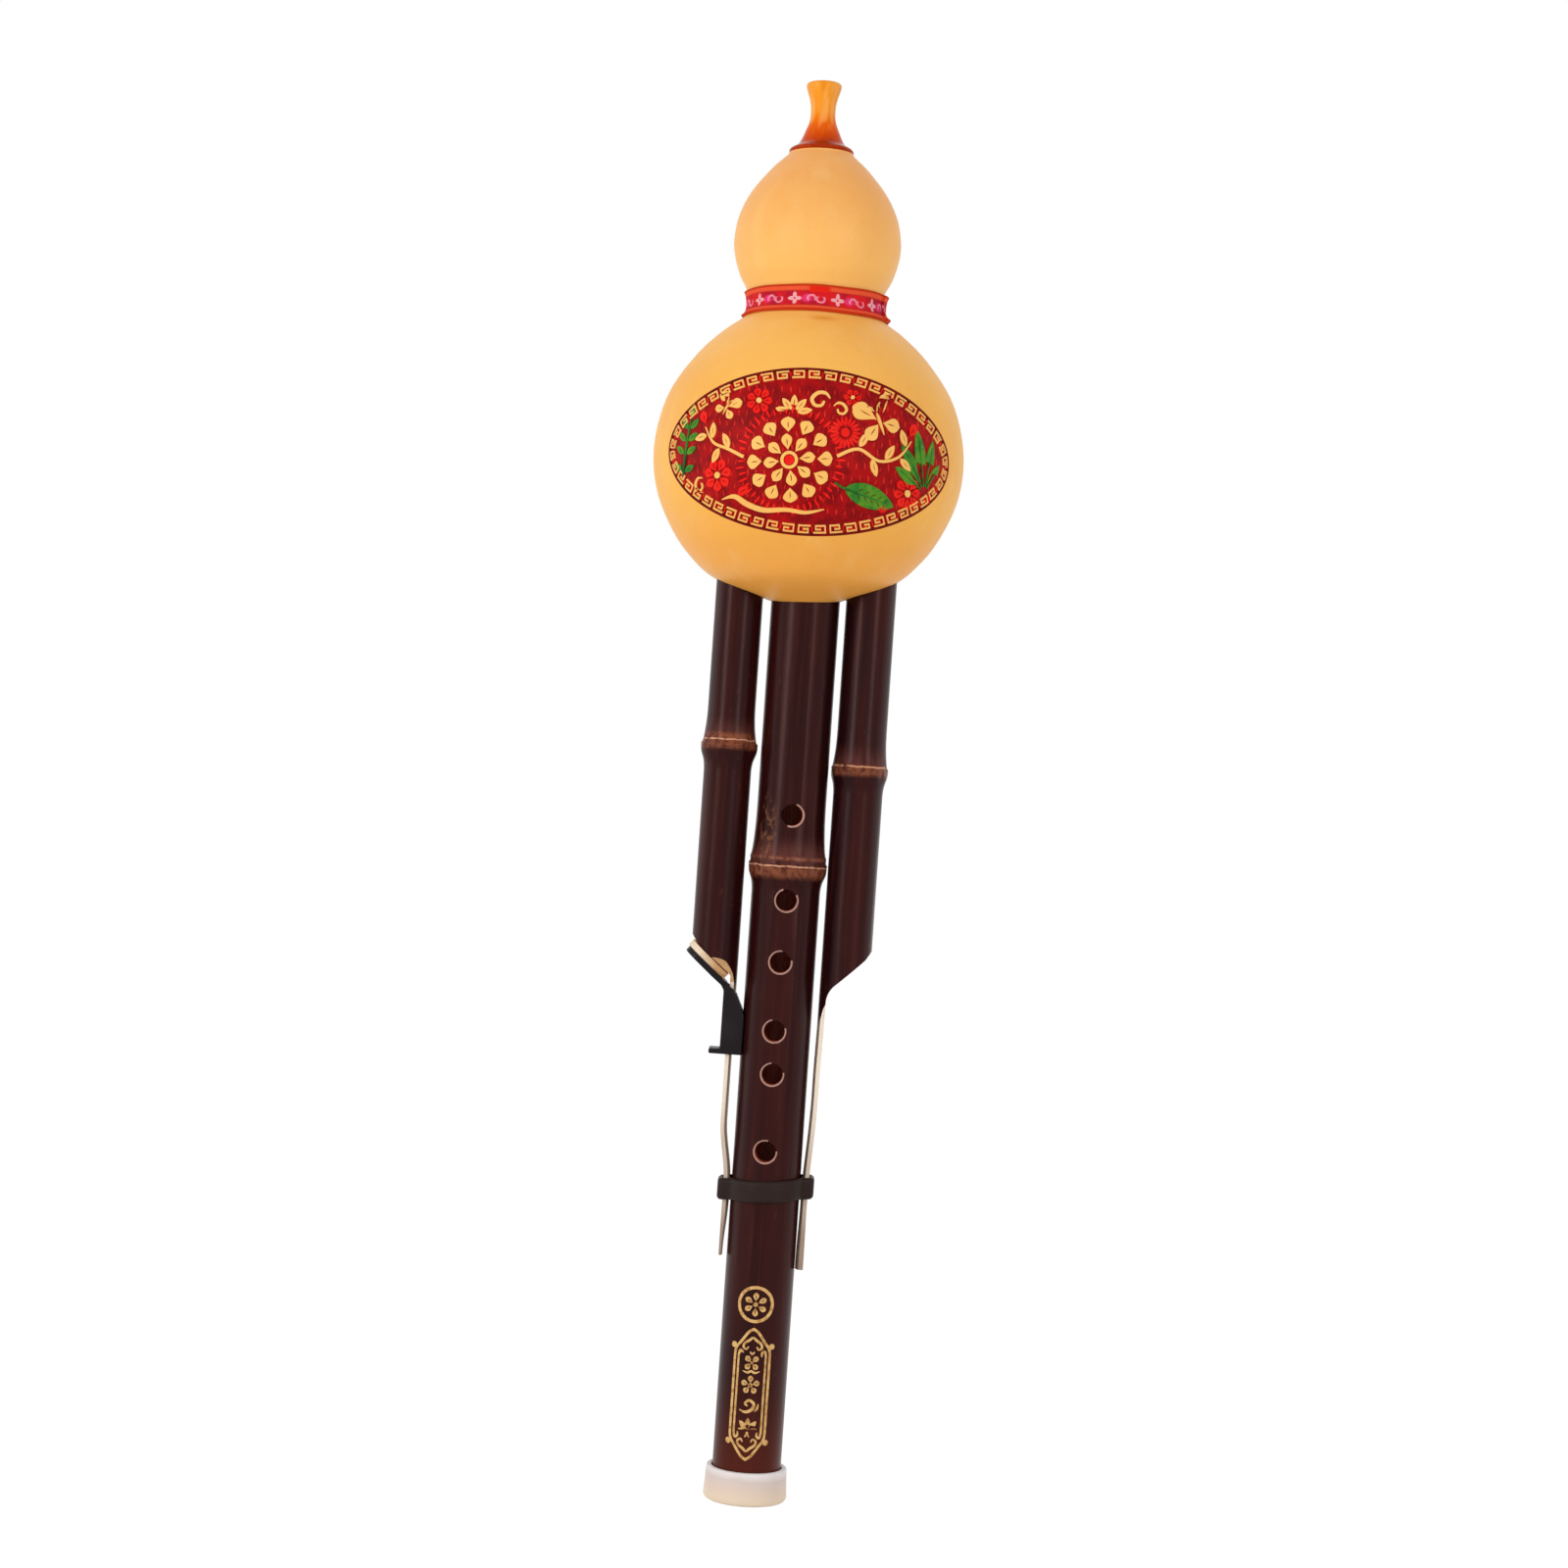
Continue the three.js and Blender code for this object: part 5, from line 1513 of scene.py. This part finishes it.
gold = {   # in mm on the pipe's unrolled skin; a stroke's points are (x, y, half width)
    "circle": (-0.6, 63.4), "circleOuter": 5.85, "circleLine": 1.0, "cartouche": (-0.6, 35.15),
    "line": 0.85, "raise": 0.09, "sink": 0.25, "grid": 1.4,
    "frame": [   # a quarter of the frame, from its top to its middle
        (0, 20.5), (1.4, 19.6), (2.7, 17.9), (3.9, 16.2), (5.0, 14.8), (5.6, 13.2), (5.7, 11.0), (5.7, 5.5),
        (5.7, 0),
    ],
    "volutes": [
        [(0.1, 18.0, 0.3), (1.1, 17.0, 0.42), (2.5, 16.0, 0.4), (2.9, 14.7, 0.36), (1.9, 14.1, 0.32),
         (1.3, 15.0, 0.2)],
        [(4.35, 12.0, 0.34), (3.9, 13.6, 0.4), (3.0, 13.0, 0.36), (3.1, 11.9, 0.2)],
    ],
    "rail": [(4.35, 12.1, 0.34), (4.35, 4, 0.34), (4.35, -4, 0.34), (4.35, -12.1, 0.34)],
    "bar": [(-0.7, 13.4, 0.2), (0, 12.6, 0.3), (0.7, 13.4, 0.2)],
    "bracket": [
        (-2.7, -2.6, 0.12), (-1.2, -3.1, 0.36), (0, -2.6, 0.36), (1.2, -3.1, 0.36), (2.7, -2.6, 0.12),
    ],
    "scroll": [
        (-2.9, -1.3, 0.16), (-1.0, -1.9, 0.42), (1.0, -1.0, 0.5), (1.5, 0.8, 0.46), (0.0, 1.8, 0.42),
        (-1.2, 0.8, 0.38), (-0.4, 0.0, 0.24),
    ],
    "tail": [(1.8, -1.6, 0.18), (2.6, -0.7, 0.38), (2.9, 0.8, 0.14)],
    "signHeights": (9.9, 2.9, -3.7, -9.9),
}


def wrapOnPipe(piece):
    for vertex in piece.data.vertices:
        x, y, level = vertex.co
        angle, reach = x / melody["radius"], melody["radius"] + level
        vertex.co = (reach * math.sin(angle) * mm, -reach * math.cos(angle) * mm, y * mm)
    piece.data.update()


def goldSigns():   # a lozenge, a flower, a scroll and a sprig, one under the other
    lozenge = blossom(0, 0, 4, 0.45, 2.3, 1.8, 45, 1.4, 0.24) + disc(0, 0, 0.42)
    lozenge += [strokeLine(gold["bracket"])]
    flower = blossom(0, 0, 5, 0.8, 2.2, 1.85, 90, 1.4, 0.26) + disc(0, 0, 0.66, 0.3)
    scroll = [strokeLine(gold["scroll"], 6), strokeLine(gold["tail"])]
    sprig = [petalLine(0, -1.6, turn, 0.5, 3.6, 1.6, 1.0, 8) for turn in (90, 50, 130)]
    sprig += [petalLine(0, -1.6, turn, 0.5, 2.6, 1.15, 1.0, 8) for turn in (10, 170)] + disc(0, -2.3, 0.46)
    signs = zip((lozenge, flower, scroll, sprig), gold["signHeights"])
    return sum((turned(sign, 0, height) for sign, height in signs), [])


def makeGold():
    right = smoothLine(gold["frame"] + [(x, -y) for x, y in gold["frame"][-2::-1]], 4)
    frameLine = band(right + [(-x, y) for x, y in right[-2:0:-1]], gold["line"])
    corner = [strokeLine(points) for points in gold["volutes"]] + [arcLine(6.15, 15.1, 0.95, 0, 345, 23)]
    corners = corner + mirrored(corner) + mirrored(corner, False, True) + mirrored(corner, True, True)
    rail, bar = [strokeLine(gold["rail"], 3)], [strokeLine(gold["bar"])]
    inner = rail + mirrored(rail) + bar + mirrored(bar, False, True)
    groups = [turned(shapes, *gold["cartouche"]) for shapes in (frameLine, goldSigns(), inner, corners)]
    circle, outer = gold["circle"], gold["circleOuter"]
    badge = disc(*circle, outer, outer - gold["circleLine"])
    groups.append(badge + blossom(*circle, 6, 1.1, 2.7, 1.8, 30, 1.4, 0.28) + disc(*circle, 0.75))
    piece = makeRelief("goldLines", groups, -gold["sink"], gold["raise"], gold["grid"], wrapOnPipe, "gold")
    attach(piece, "instrument")
    print("gold lines laid")


makeGold()

finishOfNode = {
    "gourd_shell": "gourd", "mouthpiece": "amber", "mouthpiece_seal": "wax", "waist_ribbon": "ribbon",
    "pipe_seal": "wax", "melody_pipe": "melody", "melody_pipe_plug": "cork", "melody_reed_plate": "brass",
    "melody_reed_tongue": "brass", "melody_reed_wax": "wax", "drone_reed_plate": "brass",
    "drone_reed_tongue": "brass", "drone_reed_wax": "wax", "retaining_ring": "ring", "foot_cap": "cap",
    "left_drone_pipe": "left", "left_drone_plug": "cork", "drone_slide_key": "key", "drone_slide_pad": "pad",
    "right_side_pipe": "right",
}
for node, name in finishOfNode.items():
    coat(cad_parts[node], finish[name])
